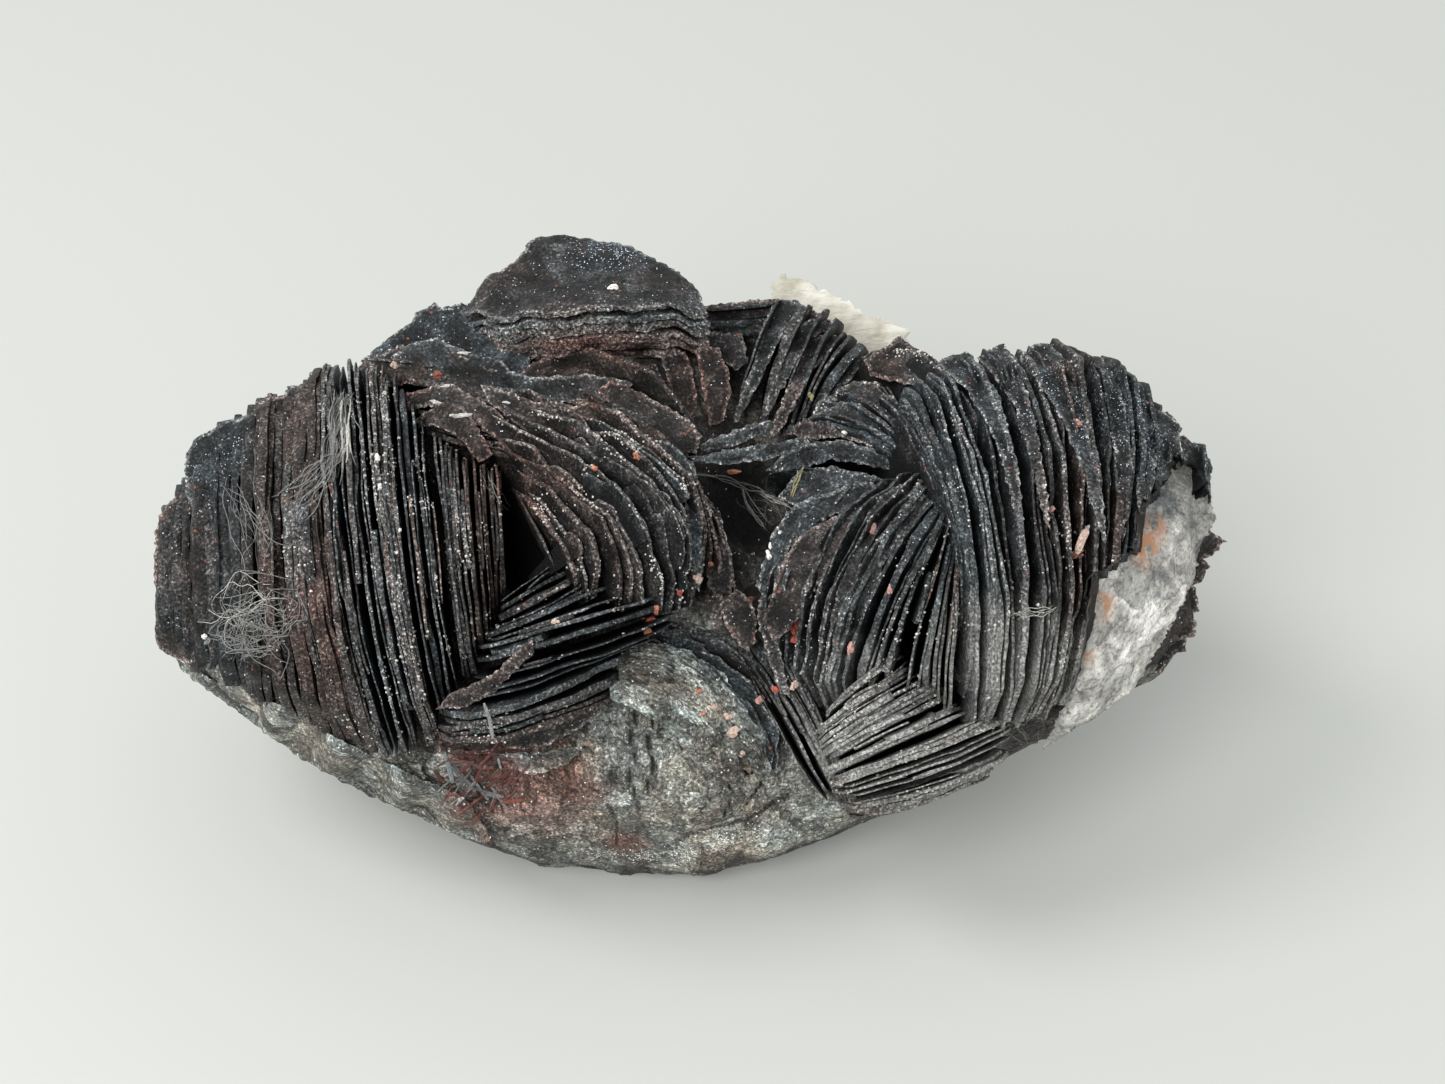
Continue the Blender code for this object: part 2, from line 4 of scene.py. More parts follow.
import bmesh
import bpy
import numpy as np
from mathutils import Matrix, Vector, bvhtree, geometry

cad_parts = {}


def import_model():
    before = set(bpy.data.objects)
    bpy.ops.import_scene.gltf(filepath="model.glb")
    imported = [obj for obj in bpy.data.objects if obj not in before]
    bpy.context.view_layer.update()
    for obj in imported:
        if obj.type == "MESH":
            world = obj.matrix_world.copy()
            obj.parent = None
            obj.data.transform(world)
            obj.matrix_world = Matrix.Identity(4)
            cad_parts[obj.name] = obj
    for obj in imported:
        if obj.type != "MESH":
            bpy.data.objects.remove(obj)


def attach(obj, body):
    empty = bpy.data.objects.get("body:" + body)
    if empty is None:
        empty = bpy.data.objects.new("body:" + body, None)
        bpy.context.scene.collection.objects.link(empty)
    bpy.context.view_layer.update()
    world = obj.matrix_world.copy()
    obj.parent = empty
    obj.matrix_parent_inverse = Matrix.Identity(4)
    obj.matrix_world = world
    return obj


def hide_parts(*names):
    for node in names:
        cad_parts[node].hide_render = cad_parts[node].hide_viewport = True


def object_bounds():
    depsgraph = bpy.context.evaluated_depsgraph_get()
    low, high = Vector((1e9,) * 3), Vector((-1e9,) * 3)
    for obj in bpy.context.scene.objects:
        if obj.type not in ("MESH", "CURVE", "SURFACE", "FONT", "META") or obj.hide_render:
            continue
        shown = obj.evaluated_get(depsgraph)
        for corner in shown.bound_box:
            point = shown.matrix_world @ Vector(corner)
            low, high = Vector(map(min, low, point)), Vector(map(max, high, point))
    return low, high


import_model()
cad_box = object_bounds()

MM = 0.001

# The show face, a sheet that leans back. A point on it is (across, down, out) in millimetres, with
# across and down as they look from EYE_DISTANCE in front of it
LEAN = math.radians(40.0)
EYE_DISTANCE = 300.0
SHEET_MIDDLE = (72.25, 54.2)
SHEET_WIDTH = 144.5
SHEET_STANDS_AT = (4.54, -8.21, 37.0)
RIGHT = np.array((1.0, 0.0, 0.0))
UP = np.array((0.0, math.sin(LEAN), math.cos(LEAN)))
OUT = np.array((0.0, -math.cos(LEAN), math.sin(LEAN)))

# How plates are spaced and how they differ
GAP_RANGE = (0.35, 1.0)
WIDE_GAP_SHARE = 0.3
WIDE_GAP_RANGE = (1.1, 2.1)
THICKNESS_SHARES = (0.45, 0.6, 0.8, 1.0, 1.0, 1.3, 1.9)
BROKEN_SHARE = 0.55
BROKEN_LENGTH = (0.2, 0.5)
BROKEN_RISE = (0.15, 0.7)
SHORT_SHARE = 0.25
SHORT_RANGE = (0.78, 0.95)
END_SHIFT = 0.6
TILT_SHIFT = 0.3
ROOT_SHARE = 0.42
HEIGHT_SHIFT = (0.97, 1.02)
HABIT_DRIFT = 0.3
TONE_DRIFT = 0.25
TONE_START = (0.3, 0.7)
WEAR_AND_HIGHLIGHT_SHIFT = (0.2, 1.5)
# A broken piece's thickness, root and lean, as shares of its family's
BROKEN_SIZE = (0.8, 0.6, 0.5)

# The free edge's corners, as (place along the edge, height), for two habits that plates mix
BLUNT_EDGE = ((0.0, 0.0), (0.04, 0.32), (0.26, 0.9), (0.6, 1.0), (0.9, 0.56), (1.0, 0.0))
KEEN_EDGE = ((0.0, 0.0), (0.1, 0.56), (0.44, 1.0), (0.74, 0.86), (0.96, 0.34), (1.0, 0.0))

# family: how many plates, their thickness, how far they run in behind the free edge, how far the
# root leans to the side, how worn and pale the free edges are (the paleness partly a painted
# highlight), and the plates that are given, each as the start, the furthest point and the end of its
# free edge
FAMILIES = {
    "left_end": (15, 1.1, 10, 0, 0.22, (
        ((16.6, 52.5, -8), (16.4, 58, -4), (16.6, 63, -8)),
        ((17.9, 48.3, -8), (17.7, 57.5, -0.5), (18.3, 65.2, -6.5)),
        ((21.5, 43.2, -8), (21.3, 56.5, 3.6), (22, 67.4, -4)),
        ((26, 40.3, -7), (25.6, 56.5, 7), (27, 70.4, -2)),
    )),
    "left_crusted": (19, 0.8, 12, 1, 0.42, (
        ((26.4, 40, -6.5), (26, 56.5, 8.2), (28, 70.8, -1)),
        ((29.6, 38.8, -6.2), (29.2, 56.5, 9.8), (32.4, 73, -0.4)),
        ((32.8, 36.8, -5.4), (33, 56.2, 11.8), (37.6, 75.2, 0.9)),
    )),
    "left_stack": (19, 0.42, 12, 1, 0.75, (
        ((32.4, 37, -5.5), (32.4, 56.3, 11.6), (37, 75, 0.8)),
        ((34, 36, -5), (34.6, 56, 12.5), (39.5, 75.8, 1.5)),
        ((37, 36.6, -3), (38.6, 55.5, 14), (43, 74.6, 4)),
        ((38.6, 37.2, -2), (40, 55, 14.6), (43.6, 73, 6)),
    )),
    "left_fan": (19, 0.32, 12, 0, 1, (
        ((39.5, 37.8, -1), (41, 54, 15), (44, 71, 8)),
        ((42.6, 42.5, 1), (43.8, 55, 15), (46, 68.5, 8)),
        ((45.2, 44.8, 1), (46, 55, 14), (47.6, 67.2, 7)),
        ((47.8, 46, 1), (48.2, 54.5, 12), (48.9, 63.5, 6)),
        ((49.8, 46.8, 0), (50.3, 53, 9), (50.2, 59.5, 4)),
    )),
    "left_shelves": (17, 0.44, 12, 1, 0.7, (
        ((50.2, 60.2, 4), (53, 58.1, 9.5), (55.6, 56.4, 5)),
        ((49, 63, 6), (54.3, 60.8, 12.5), (59.2, 58.6, 7)),
        ((47.4, 64.9, 7), (57, 62.8, 14.5), (65.3, 59.9, 7)),
        ((46.8, 68.4, 7), (57.5, 66.4, 15), (67.8, 61.8, 6)),
        ((44, 71.2, 7), (54, 69.9, 15), (62.8, 65.4, 6)),
        ((44, 73.6, 6), (53.5, 73, 12.5), (62, 69.3, 5)),
    )),
    "left_petals": (15, 0.4, 12, 0.5, 1.5, (
        ((50.7, 47.6, -1), (53.9, 53, 7.4), (55.9, 58.2, 6.2)),
        ((50.9, 48.6, 0), (56.3, 54.2, 9), (57.9, 60, 7)),
        ((49, 46, -1), (58, 52.2, 10), (59.6, 60.2, 8)),
        ((46.5, 44.6, -2), (59.6, 50.6, 10.5), (62.2, 60.5, 8)),
        ((44.5, 43.2, -3), (61.5, 49.2, 11), (65.2, 60.6, 8)),
        ((44.5, 41.6, -4), (64, 48.4, 11), (67, 61, 7)),
        ((47.5, 40.2, -4.5), (66.2, 47.6, 10), (69, 61.2, 6)),
        ((55, 40.4, -4), (68.6, 46.4, 8.5), (70.6, 57, 4)),
        ((62, 42, -3), (71.6, 50, 5), (73.6, 60.5, 2)),
    )),
    "roof": (7, 0.6, 8, 1, 0.7, (
        ((36, 36, -8), (42, 36.5, -2), (50, 37.5, -5)),
        ((39, 38.5, -5), (45, 39.6, 0), (52, 40, -3)),
        ((41, 41, -3), (47, 42.4, 1.6), (55, 43.5, -1)),
        ((42, 43, -2), (48, 44.6, 3), (55, 46.5, 1)),
    )),
    "lobes": (4, 0.7, 10, 2, 0.8, (
        ((50, 40.2, -5), (60.5, 40.2, 2), (67, 46.5, 3)),
        ((52, 38.2, -6), (62.2, 38, 1), (69.2, 46, 1)),
        ((52.6, 36.8, -8), (63, 36, 0), (70, 45, -1)),
    )),
    "rear_band": (5, 0.8, 8, 0, 0.3, (
        ((70, 31.2, -14), (75, 30.6, -10), (79, 30.2, -13)),
        ((70, 34.2, -16), (74.5, 33.8, -12), (78, 33.6, -15)),
    )),
    "leaning": (8, 0.6, 8, -3, 0.4, (
        ((73.5, 43.2, -9), (74.9, 36.3, -5), (78.3, 30, -13)),
        ((76.8, 43, -9), (78.2, 36.5, -5), (81.3, 30.5, -14)),
        ((79, 43.5, -8), (80.6, 37.5, -4.5), (84, 32.2, -13)),
        ((81, 42.5, -8), (83, 38, -5), (86.5, 35, -12)),
    )),
    "right_petals": (9, 0.5, 10, -2, 0.6, (
        ((77, 48.8, -4), (82.6, 46.9, 3), (89, 49.6, 1)),
        ((78, 46.6, -5), (83.6, 44.3, 2.5), (90.6, 48, 2)),
        ((79, 43.9, -7), (84.4, 42.4, 1.5), (91.4, 47, 3)),
        ((81.8, 42, -8), (86.2, 40.6, 1), (92, 46.5, 4)),
        ((84, 39.6, -8), (88.2, 39.4, 1), (92.4, 46, 5)),
        ((87.5, 37.8, -7), (90.6, 41.2, 3), (93, 46.5, 6)),
    )),
    "right_fan": (23, 0.52, 12, 2, 0.65, (
        ((86, 48.8, 2), (78.6, 54.5, 9), (77.5, 65.5, 3)),
        ((88.5, 48.2, 4), (80.2, 56.5, 11), (80.5, 69.5, 4)),
        ((93, 46.4, 6), (83.6, 56, 13), (82.5, 71, 6)),
        ((94, 49.3, 7), (87, 58.5, 14), (84, 71.3, 7)),
        ((95.3, 50.2, 8), (90.2, 58.5, 14.5), (86.5, 69.5, 8)),
        ((95.5, 51.2, 8), (93.2, 60, 15), (91.5, 69, 9)),
        ((95.8, 52, 8), (95.6, 61, 15), (95, 71, 9)),
    )),
    "apex": (2, 0.6, 10, 2, 1, (
        ((86.4, 36.3, -8), (92.6, 35.6, -1), (98, 45.5, 6)),
        ((87.4, 37.3, -8), (92.6, 36.8, -1), (97, 45.5, 6)),
    )),
    "right_stack": (23, 0.42, 12, 3, 0.8, (
        ((89.6, 41.2, 4.5), (94, 49.6, 11), (95.3, 57.5, 10.5)),
        ((90.6, 39.4, 3), (96, 52, 14.2), (96.2, 68, 9.2)),
        ((91.8, 38, 2), (97.6, 54, 15), (97, 73.2, 7)),
        ((95.2, 36.4, 0), (100.8, 54, 15), (99.8, 73, 6)),
        ((99.6, 34.8, -2), (105.2, 53, 13.5), (102.6, 72.2, 5)),
        ((104.8, 34.4, -4), (109.6, 52.5, 11.5), (105.5, 71, 4)),
    )),
    "right_crest": (11, 0.62, 12, 5, 0.5, (
        ((105.6, 34.4, -4), (110.2, 52.4, 11.2), (106.2, 70.6, 3.8)),
        ((109.8, 35.6, -6), (113, 51.5, 8.5), (108.5, 68, 2)),
        ((114.8, 39.2, -8), (116.6, 50.5, 4.5), (113.5, 63, -1)),
        ((119.5, 44.4, -10), (121.2, 50, -1), (119, 57.5, -6)),
    )),
    "right_shelves": (10, 0.46, 12, 1, 1, (
        ((82.5, 71.3, 8), (86.2, 68.2, 13), (89.6, 65.6, 8)),
        ((82, 73.4, 8), (87.5, 69.9, 14), (91.8, 67.2, 8)),
        ((82.2, 75, 7), (88.5, 71.4, 13.6), (94, 68.4, 7)),
    )),
    "right_shingles": (21, 0.46, 12, 0.5, 1, (
        ((82.2, 75.3, 7), (88.5, 71.7, 13.4), (94.2, 68.8, 7)),
        ((83, 77, 6), (89.8, 74, 12.5), (96.4, 70.8, 6.5)),
        ((83.4, 78.6, 4), (92, 76.2, 10.5), (101.4, 72.1, 4)),
        ((84, 80, 2), (92.5, 78.6, 7.5), (101, 74.6, 2)),
        ((85.2, 81.4, -1), (91.5, 80.9, 3), (98.5, 77.6, -1)),
    )),
    "valley": (11, 0.42, 10, 1, 0.3, (
        ((74.2, 65.6, 2), (77.9, 72.2, 5.6), (82.6, 79.8, 1)),
        ((75, 64.2, 2.5), (79, 70.8, 6.4), (84, 79.8, 1)),
        ((76.4, 63.4, 3), (80.4, 70.2, 7), (85.4, 81, 0)),
        ((77.8, 63, 3), (81.6, 70.6, 7), (86, 81.6, -1)),
    )),
    "shells": (5, 0.5, 10, 0, 1, (
        ((65.5, 62.6, -1), (74.8, 65.6, 3), (78.8, 74.5, -1)),
        ((61.5, 64.2, 2), (73.2, 67, 5), (77.6, 77.2, 1)),
    )),
    "back_left": (26, 0.7, 14, 0, 0.5, (
        ((22, 46, -12), (20.5, 56, -22), (22, 66, -12)),
        ((32, 41, -18), (30.5, 56, -33), (33, 70, -20)),
        ((46, 38, -22), (44, 54, -38), (48, 70, -26)),
    )),
    "back_shelves": (24, 0.7, 14, 0, 0.5, (
        ((46, 33, -18), (60, 34, -31), (74, 35, -20)),
        ((46, 45, -26), (60, 46, -39), (74, 47, -26)),
        ((48, 60, -30), (61, 60, -40), (74, 60, -30)),
        ((50, 75, -29), (61, 76.5, -38), (73, 75, -29)),
    )),
    "back_right": (28, 0.7, 14, 0, 0.5, (
        ((72, 40, -24), (78, 52, -38), (74, 68, -28)),
        ((88, 39, -20), (92, 53, -36), (87, 70, -26)),
        ((104, 40, -16), (107, 53, -30), (103, 68, -20)),
        ((116, 45, -14), (118, 54, -21), (115, 63, -15)),
    )),
    "under_left": (24, 0.75, 9, 0, 0.5, (
        ((21, 64.5, -6.5), (21.5, 68, -11), (21, 63.5, -15.5)),
        ((30, 70, -6), (32, 74.6, -13), (31, 68, -23)),
        ((42, 74, -6), (44.5, 81, -15), (43, 72, -27.5)),
    )),
    "under_right": (22, 0.75, 9, 0, 0.5, (
        ((92, 70.5, 1.5), (93, 79.6, -12.5), (92, 70.5, -27.5)),
        ((104, 67, 1), (104.5, 74, -11.5), (104, 67, -24.5)),
        ((115.5, 62, -4), (116, 66.4, -11), (115.5, 62, -17.5)),
    )),
}

# piece: its families, and how many points its plates have along, inward and through
PLATE_PIECES = {
    "left_stack_plates": (("left_end", "left_crusted", "left_stack"), 60, 5, 3),
    "left_fan_plates": (("left_fan", "left_shelves", "left_petals"), 56, 5, 3),
    "right_fan_plates": (("right_petals", "right_fan", "apex", "right_shelves", "right_shingles"), 56, 5, 3),
    "right_stack_plates": (("right_stack", "right_crest"), 60, 5, 3),
    "crown_plates": (("roof", "lobes", "rear_band", "leaning"), 48, 5, 3),
    "belly_shells": (("valley", "shells"), 48, 4, 3),
    "back_plates": (("back_left", "back_shelves", "back_right", "under_left", "under_right"), 32, 4, 2),
}
# The pieces with pale beads on their free edges
DUSTED = ("left_stack_plates", "left_fan_plates", "right_fan_plates", "right_stack_plates")
# Families without broken pieces between their plates
UNBROKEN = ("left_end", "leaning", "lobes", "right_stack", "back_left", "back_shelves", "back_right",
            "under_left", "under_right")

# Plates whose faces are seen: (thickness, tone, corners)
FLAKES = {
    "end_slab": (1.6, 0.25, (
        (15.4, 53.3, -5.6), (16, 51.4, -5.6), (16.9, 50.4, -5.4), (18.3, 48.9, -4.6), (19.6, 50.6, -2.2),
        (20.3, 56, 0.9), (20.4, 62, -0.6), (19.4, 66.4, -3.2), (18.1, 66.2, -4.4), (16, 65, -5.6),
        (15.6, 63.6, -5.6))),
    "sparkling_slab": (1.3, 0.85, (
        (18.5, 49.2, -3.2), (18.4, 46.4, -4.2), (18.7, 45, -4.6), (19.7, 43.7, -5), (21, 43.1, -5),
        (22.1, 42.3, -5), (25.8, 41.2, -4.4), (26.2, 44, -2.4), (25.8, 48, 0.2), (24, 50.4, -0.4),
        (22.8, 49, -0.8), (21.8, 51.6, -0.6), (20.6, 49.6, -1.6), (19.8, 52, -1.6))),
    "brown_slab": (1.3, 0.3, (
        (25.3, 41.4, -4.6), (26.1, 40.1, -5), (28.7, 39.3, -4.6), (29.2, 43, -1.4), (28.6, 47.4, 1.4),
        (27.4, 49.6, 2), (26.4, 47, 0.8), (25.4, 49.2, 0.8), (24.8, 45.4, -1.6))),
    "shoulder_slab": (1.2, 0.5, (
        (28.4, 39.5, -3.8), (28.8, 38.6, -4), (31.9, 38.1, -3.6), (32.7, 41.4, -0.2), (32.4, 45.4, 2.6),
        (31, 47.4, 3.2), (30.2, 45.6, 2), (29.4, 47.6, 2.4), (28.6, 43.4, -0.8))),
    "roof_blue": (1.2, 0.9, (
        (36.4, 35.9, -6.4), (38.4, 34, -6.8), (41, 32.2, -7.6), (41.3, 31.3, -8), (43.4, 30.2, -8.6),
        (44.2, 30.9, -8.2), (45.8, 30.4, -8.2), (49.4, 30.4, -7.6), (52.4, 32.4, -6), (53.2, 34.6, -4.2),
        (52.8, 38.6, -3.4), (49, 39.4, -3), (43.6, 39, -3.6), (38, 38.6, -5))),
    "roof_ledge": (1.1, 0.35, (
        (34.8, 38.2, -4.4), (36.4, 36.2, -5.4), (39.8, 34.6, -5), (43.4, 34.3, -3.8), (47, 35.8, -2.2),
        (51, 37.6, -1.2), (53.6, 40, 0.2), (50.6, 41, 0.6), (46, 39.4, 0.2), (41.6, 38.2, -0.8),
        (38.4, 38.8, -2))),
    "roof_rust": (1.2, 0.15, (
        (51.8, 37.6, -3.2), (53, 36.4, -3.8), (56.6, 34.7, -4.6), (59.6, 34.6, -4.4), (63.4, 36.6, -3.2),
        (65.8, 38.2, -2.6), (67.4, 40.8, -1.6), (63.6, 40, -0.6), (58.6, 38, -0.8), (54.6, 38.6, -1.2))),
    "hung_near": (1, 0.2, (
        (66, 35.4, -5.6), (68.6, 35.2, -6), (69.4, 37.6, -5), (69.8, 40.6, -4.4), (69, 42.9, -4.6),
        (67.6, 42, -4.6), (66.8, 38.6, -5.2))),
    "hung_far": (1, 0.15, (
        (69.6, 34.8, -5.8), (71.8, 34.8, -6.2), (72.8, 37, -5.2), (73.1, 39.6, -4.8), (72.3, 42.3, -5),
        (70.9, 42.6, -4.8), (70.3, 39, -4.8))),
    "hung_side": (0.9, 0.3, (
        (63.8, 36.6, -5.4), (65.6, 36.4, -5.8), (67.2, 39.4, -4.6), (67.3, 41.6, -4.4), (65.6, 40.6, -4.4))),
    "band_slab": (1.6, 0.3, (
        (69.6, 30.7, -13), (77.6, 29.8, -13.4), (82, 31.4, -14.6), (85, 34, -13.6), (86.8, 38, -11.6),
        (82, 43, -11), (76, 43, -11), (71, 38, -11))),
    "band_ledge": (1, 0.4, (
        (70.4, 33.2, -9.6), (74.2, 33.4, -9.6), (74.8, 36.2, -8.4), (73.6, 37, -8), (70.8, 34.8, -8.8))),
    "apex_slab": (1.2, 0.35, (
        (86.5, 36, -4.6), (88.6, 34.6, -5.2), (90, 33.6, -5.6), (92, 35.2, -4.4), (93.8, 36.4, -3),
        (95.6, 38.8, -0.6), (97, 42.4, 3), (96, 42.8, 3.6), (94, 40.4, 1.6), (91.6, 38.6, -0.8),
        (89, 38, -2.6), (87, 37.6, -3.8))),
    "roof_corner": (1.2, 0.3, (
        (35, 37.4, -7), (41, 36, -8.6), (44, 38.6, -6), (43, 42.6, -3.6), (36, 43, -4))),
    "roof_wave": (0.8, 0.75, (
        (39, 35.6, -3.6), (41, 34.4, -4), (43.7, 33.8, -4), (45.8, 34.8, -3.2), (48.2, 35.7, -2.2),
        (50, 35.9, -1.8), (51.4, 37.2, -0.8), (54, 37.8, -0.2), (59, 37.3, 0.2), (63.3, 38.3, 0.4),
        (62, 40.2, 1.2), (56, 40.2, 1.2), (50, 39, 0.4), (44, 37.6, -0.8), (41, 37.6, -2))),
    "roof_lobe_a": (0.8, 0.3, (
        (40.4, 39.4, -1), (42.5, 38.8, -0.4), (44.3, 38.3, 0.4), (46, 38.8, 1.2), (48.1, 40, 2),
        (50, 41.3, 2.6), (51.7, 43.3, 3.2), (52.8, 45.3, 3.4), (51.5, 46, 3.6), (49.5, 43.8, 3.4),
        (47.5, 42.2, 2.8), (45.5, 41.2, 2.2), (43.5, 40.6, 1.4), (41, 40.9, 0.4))),
    "roof_lobe_b": (0.8, 0.2, (
        (41.5, 42, 0.6), (43, 40.8, 1.4), (44.7, 39.9, 2.2), (46.7, 41, 3), (47.3, 42, 3.4), (48.4, 44, 4),
        (49.2, 45.5, 4.2), (48, 46.2, 4.4), (46.8, 44.6, 4.2), (45, 43.2, 3.4), (43, 42.5, 2.4),
        (41.8, 42.8, 1.4))),
    "roof_lobe_c": (0.8, 0.35, (
        (48, 38.4, 0.8), (51, 39.2, 1.6), (53.3, 40.1, 2.2), (55.3, 40.5, 2.6), (56.2, 42, 3.2),
        (57, 43.3, 3.8), (58.2, 45.2, 4.4), (57, 46.4, 4.8), (54.5, 44.6, 4.2), (52.5, 43, 3.6),
        (50.5, 41.5, 2.8), (48.6, 40.1, 1.8))),
    "roof_lobe_d": (0.9, 0.15, (
        (55.2, 40.2, 1.8), (57.3, 40.6, 2.2), (58.7, 40.2, 2.2), (60.2, 40.8, 2.6), (61.6, 42.3, 3.2),
        (64, 44.7, 4.2), (64.8, 46.8, 5), (63.4, 47.2, 5.4), (60.5, 45, 4.6), (57.8, 43.2, 3.6),
        (56, 42.2, 2.8))),
    "roof_lobe_e": (0.9, 0.3, (
        (59.6, 39, 1), (61.3, 38, 0.8), (64, 39.2, 1.2), (66.7, 40.6, 1.8), (69, 42, 2), (70.1, 43.7, 2.2),
        (69.8, 45.4, 2.8), (67.8, 45.2, 3.6), (64.5, 42.8, 3), (61.8, 40.9, 2.2))),
    "roof_lobe_f": (0.8, 0.8, (
        (61.2, 40.8, 2.4), (63.3, 41.9, 3), (65.3, 43.2, 3.6), (67.3, 44.6, 4.2), (68.7, 46, 4.4),
        (69.6, 47.8, 4.8), (68.5, 48.8, 5.6), (66, 46.6, 5.2), (63, 44, 4.2), (61.2, 42.3, 3.4))),
    "petal_low": (0.7, 0.7, (
        (77.8, 49.8, 0), (79.8, 47, 1.4), (83, 46.6, 3), (86, 47.2, 3.4), (88.5, 48, 3), (90.4, 48.6, 2.6),
        (86.5, 49.8, 3.6), (82.5, 50, 3), (79.5, 50.6, 1.6))),
    "petal_second": (0.7, 0.8, (
        (76.5, 47.2, -1.6), (78.5, 45.2, -0.6), (81.5, 44.2, 1.4), (84.5, 44, 2.4), (87.5, 45, 3),
        (90, 46.5, 3), (91.4, 47.6, 2.6), (87, 46.6, 3.4), (83, 46, 2.4), (79.5, 47, 0.6))),
    "petal_third": (0.7, 0.3, (
        (78.5, 43.2, -2.6), (80.5, 42, -1.4), (84, 42.7, 1), (87, 43.9, 2.4), (89.5, 45.4, 3.4),
        (91.5, 47, 3.8), (87.5, 44.7, 3), (84, 43.7, 1.8), (81, 43.9, -0.4))),
    "petal_fourth": (0.7, 0.6, (
        (81.5, 41.5, -2.4), (84, 40.3, -1.6), (86, 40.5, 0), (88.5, 42.4, 2.4), (91, 45, 4.2),
        (92.3, 46.5, 4.8), (89.5, 45, 3.8), (86.6, 43, 2), (83.6, 42.2, 0))),
    "petal_fifth": (0.7, 0.5, (
        (83.5, 39.2, -3.6), (85.5, 38, -3.6), (87.5, 38.3, -2), (89.5, 40, 1), (91, 42, 3.4),
        (92.3, 44.5, 5.2), (93, 46.3, 5.8), (91, 44.5, 4.4), (88.4, 41.8, 1.8), (85.6, 40, -1.4))),
    "blade_far": (0.35, 0.7, (
        (70, 44.4, 0.6), (75.4, 42.3, 0.8), (77.2, 42, 0.6), (77.4, 42.5, 0.6), (76.3, 43.3, 0.6),
        (73, 44.7, 0.6), (70.2, 45.2, 0.6))),
    "blade_near": (0.35, 0.8, (
        (68.9, 45.8, 3.6), (73, 45, 4), (78, 44.1, 4), (80.6, 43.8, 3.6), (81, 44.3, 3.4),
        (79.4, 45.2, 3.6), (76.6, 46, 3.8), (73, 46.4, 3.8), (69.6, 46.3, 3.6))),
    "fan_face_high": (0.8, 0.8, (
        (75.5, 58.7, 6.4), (76.3, 56.5, 6.8), (77.6, 52.8, 7.2), (79, 51, 7.4), (81, 49.8, 7.4),
        (84, 48.8, 7.2), (86.6, 48.3, 6.6), (88.2, 48.6, 6.4), (87, 50.1, 7.8), (85.2, 50.7, 8.6),
        (83.2, 51.5, 9), (81, 52.9, 9.4), (79.4, 54.2, 9.4), (78, 57, 9), (76.8, 60.2, 7.8))),
    "fan_face_middle": (0.8, 0.25, (
        (76.3, 62, 8), (77.6, 58, 9.4), (78.6, 55.4, 10), (80, 53.6, 10.2), (81.8, 52.5, 10.2),
        (84.2, 51.4, 9.6), (86.8, 50.4, 8.6), (88.4, 50, 8), (87, 52.2, 10.2), (84.8, 54.4, 11.2),
        (82.8, 56.8, 11.4), (81, 59.6, 11), (79.4, 62.4, 9.8), (77.4, 64.4, 8.4))),
    "petal_outer": (0.8, 0.8, (
        (68, 45.5, 6.6), (69.3, 46.2, 6.4), (69.9, 50, 7.4), (70.2, 53.5, 7.8), (70.3, 56.5, 7.6),
        (69.8, 59, 6.8), (69, 57, 7.8), (68.8, 53, 8.4), (68.3, 49, 8))),
    "petal_behind": (0.9, 0.35, (
        (69.9, 48.8, 2.6), (70.8, 49.8, 3), (72, 51.5, 3.4), (72.5, 53.5, 3.8), (73.2, 55.5, 4),
        (73.4, 57.8, 3.8), (72.9, 59.6, 3.4), (71.6, 60.2, 3.4), (70.8, 58, 4.2), (70.4, 54.3, 4.2),
        (70, 51.8, 3.6))),
    "valley_plate_a": (0.8, 0.3, (
        (70.7, 60.4, 4.6), (71.2, 59.6, 4.4), (72.1, 59.4, 4.4), (72.4, 60.6, 4.8), (72, 63, 5.2),
        (71.2, 62.4, 5))),
    "valley_plate_b": (0.8, 0.2, (
        (72.1, 60, 4.4), (73.6, 59, 4.2), (75.2, 60.2, 4.8), (75.8, 62, 5.4), (75.4, 64.6, 6),
        (74.6, 65.2, 6.2), (73.4, 64, 5.8), (72.3, 62.2, 5.2))),
    "valley_plate_c": (0.8, 0.4, (
        (75.6, 61.6, 5.4), (76.2, 59, 5.2), (77.2, 58.8, 5.4), (77.6, 62, 6.4), (78.2, 66, 7.2),
        (79, 69.6, 7.4), (78.2, 69.4, 7.4), (76.8, 66, 7))),
    "under_ledge_a": (1.2, 0.05, (
        (43.9, 72.5, 5.6), (46, 72.2, 6), (49.6, 72.4, 6.4), (50, 74, 5.8), (49.2, 75.2, 5), (46, 75.6, 4),
        (43.9, 75, 3.6))),
    "under_ledge_b": (1.2, 0.35, (
        (50.3, 72.8, 6.6), (53, 72.2, 7.2), (56.5, 71.2, 7.6), (59.6, 70.3, 7.4), (60.2, 71, 7),
        (58, 72.8, 6.8), (55, 74.4, 6), (52.5, 75, 5.4), (50.3, 74.8, 5.2))),
    "fan_face_near": (0.9, 0.55, (
        (83, 62, 12.2), (83.8, 58.4, 12.8), (84.8, 55.6, 12.8), (86.4, 52, 11.4), (87.6, 50, 10),
        (89.2, 48.8, 8.8), (91, 48, 8), (93, 47.6, 7.4), (93.8, 48.9, 8.6), (92.2, 51.4, 11),
        (90.2, 53.6, 12.6), (88.2, 56.6, 13.6), (87, 60, 13.4), (85.2, 66, 11), (83.6, 67.5, 9.6))),
    "crest_face_a": (0.6, 0.55, (
        (93.8, 36.4, 1.4), (95.2, 35.4, 0), (96.8, 35.1, -0.4), (98.4, 37, 2.6), (99.8, 39.4, 6.4),
        (101, 43, 10.6), (102, 48.4, 14), (102.3, 52.2, 14), (101.4, 51, 13.8), (100.2, 46, 12.6),
        (98.6, 42, 9.4), (96.6, 38.8, 5.4))),
    "crest_face_b": (0.6, 0.35, (
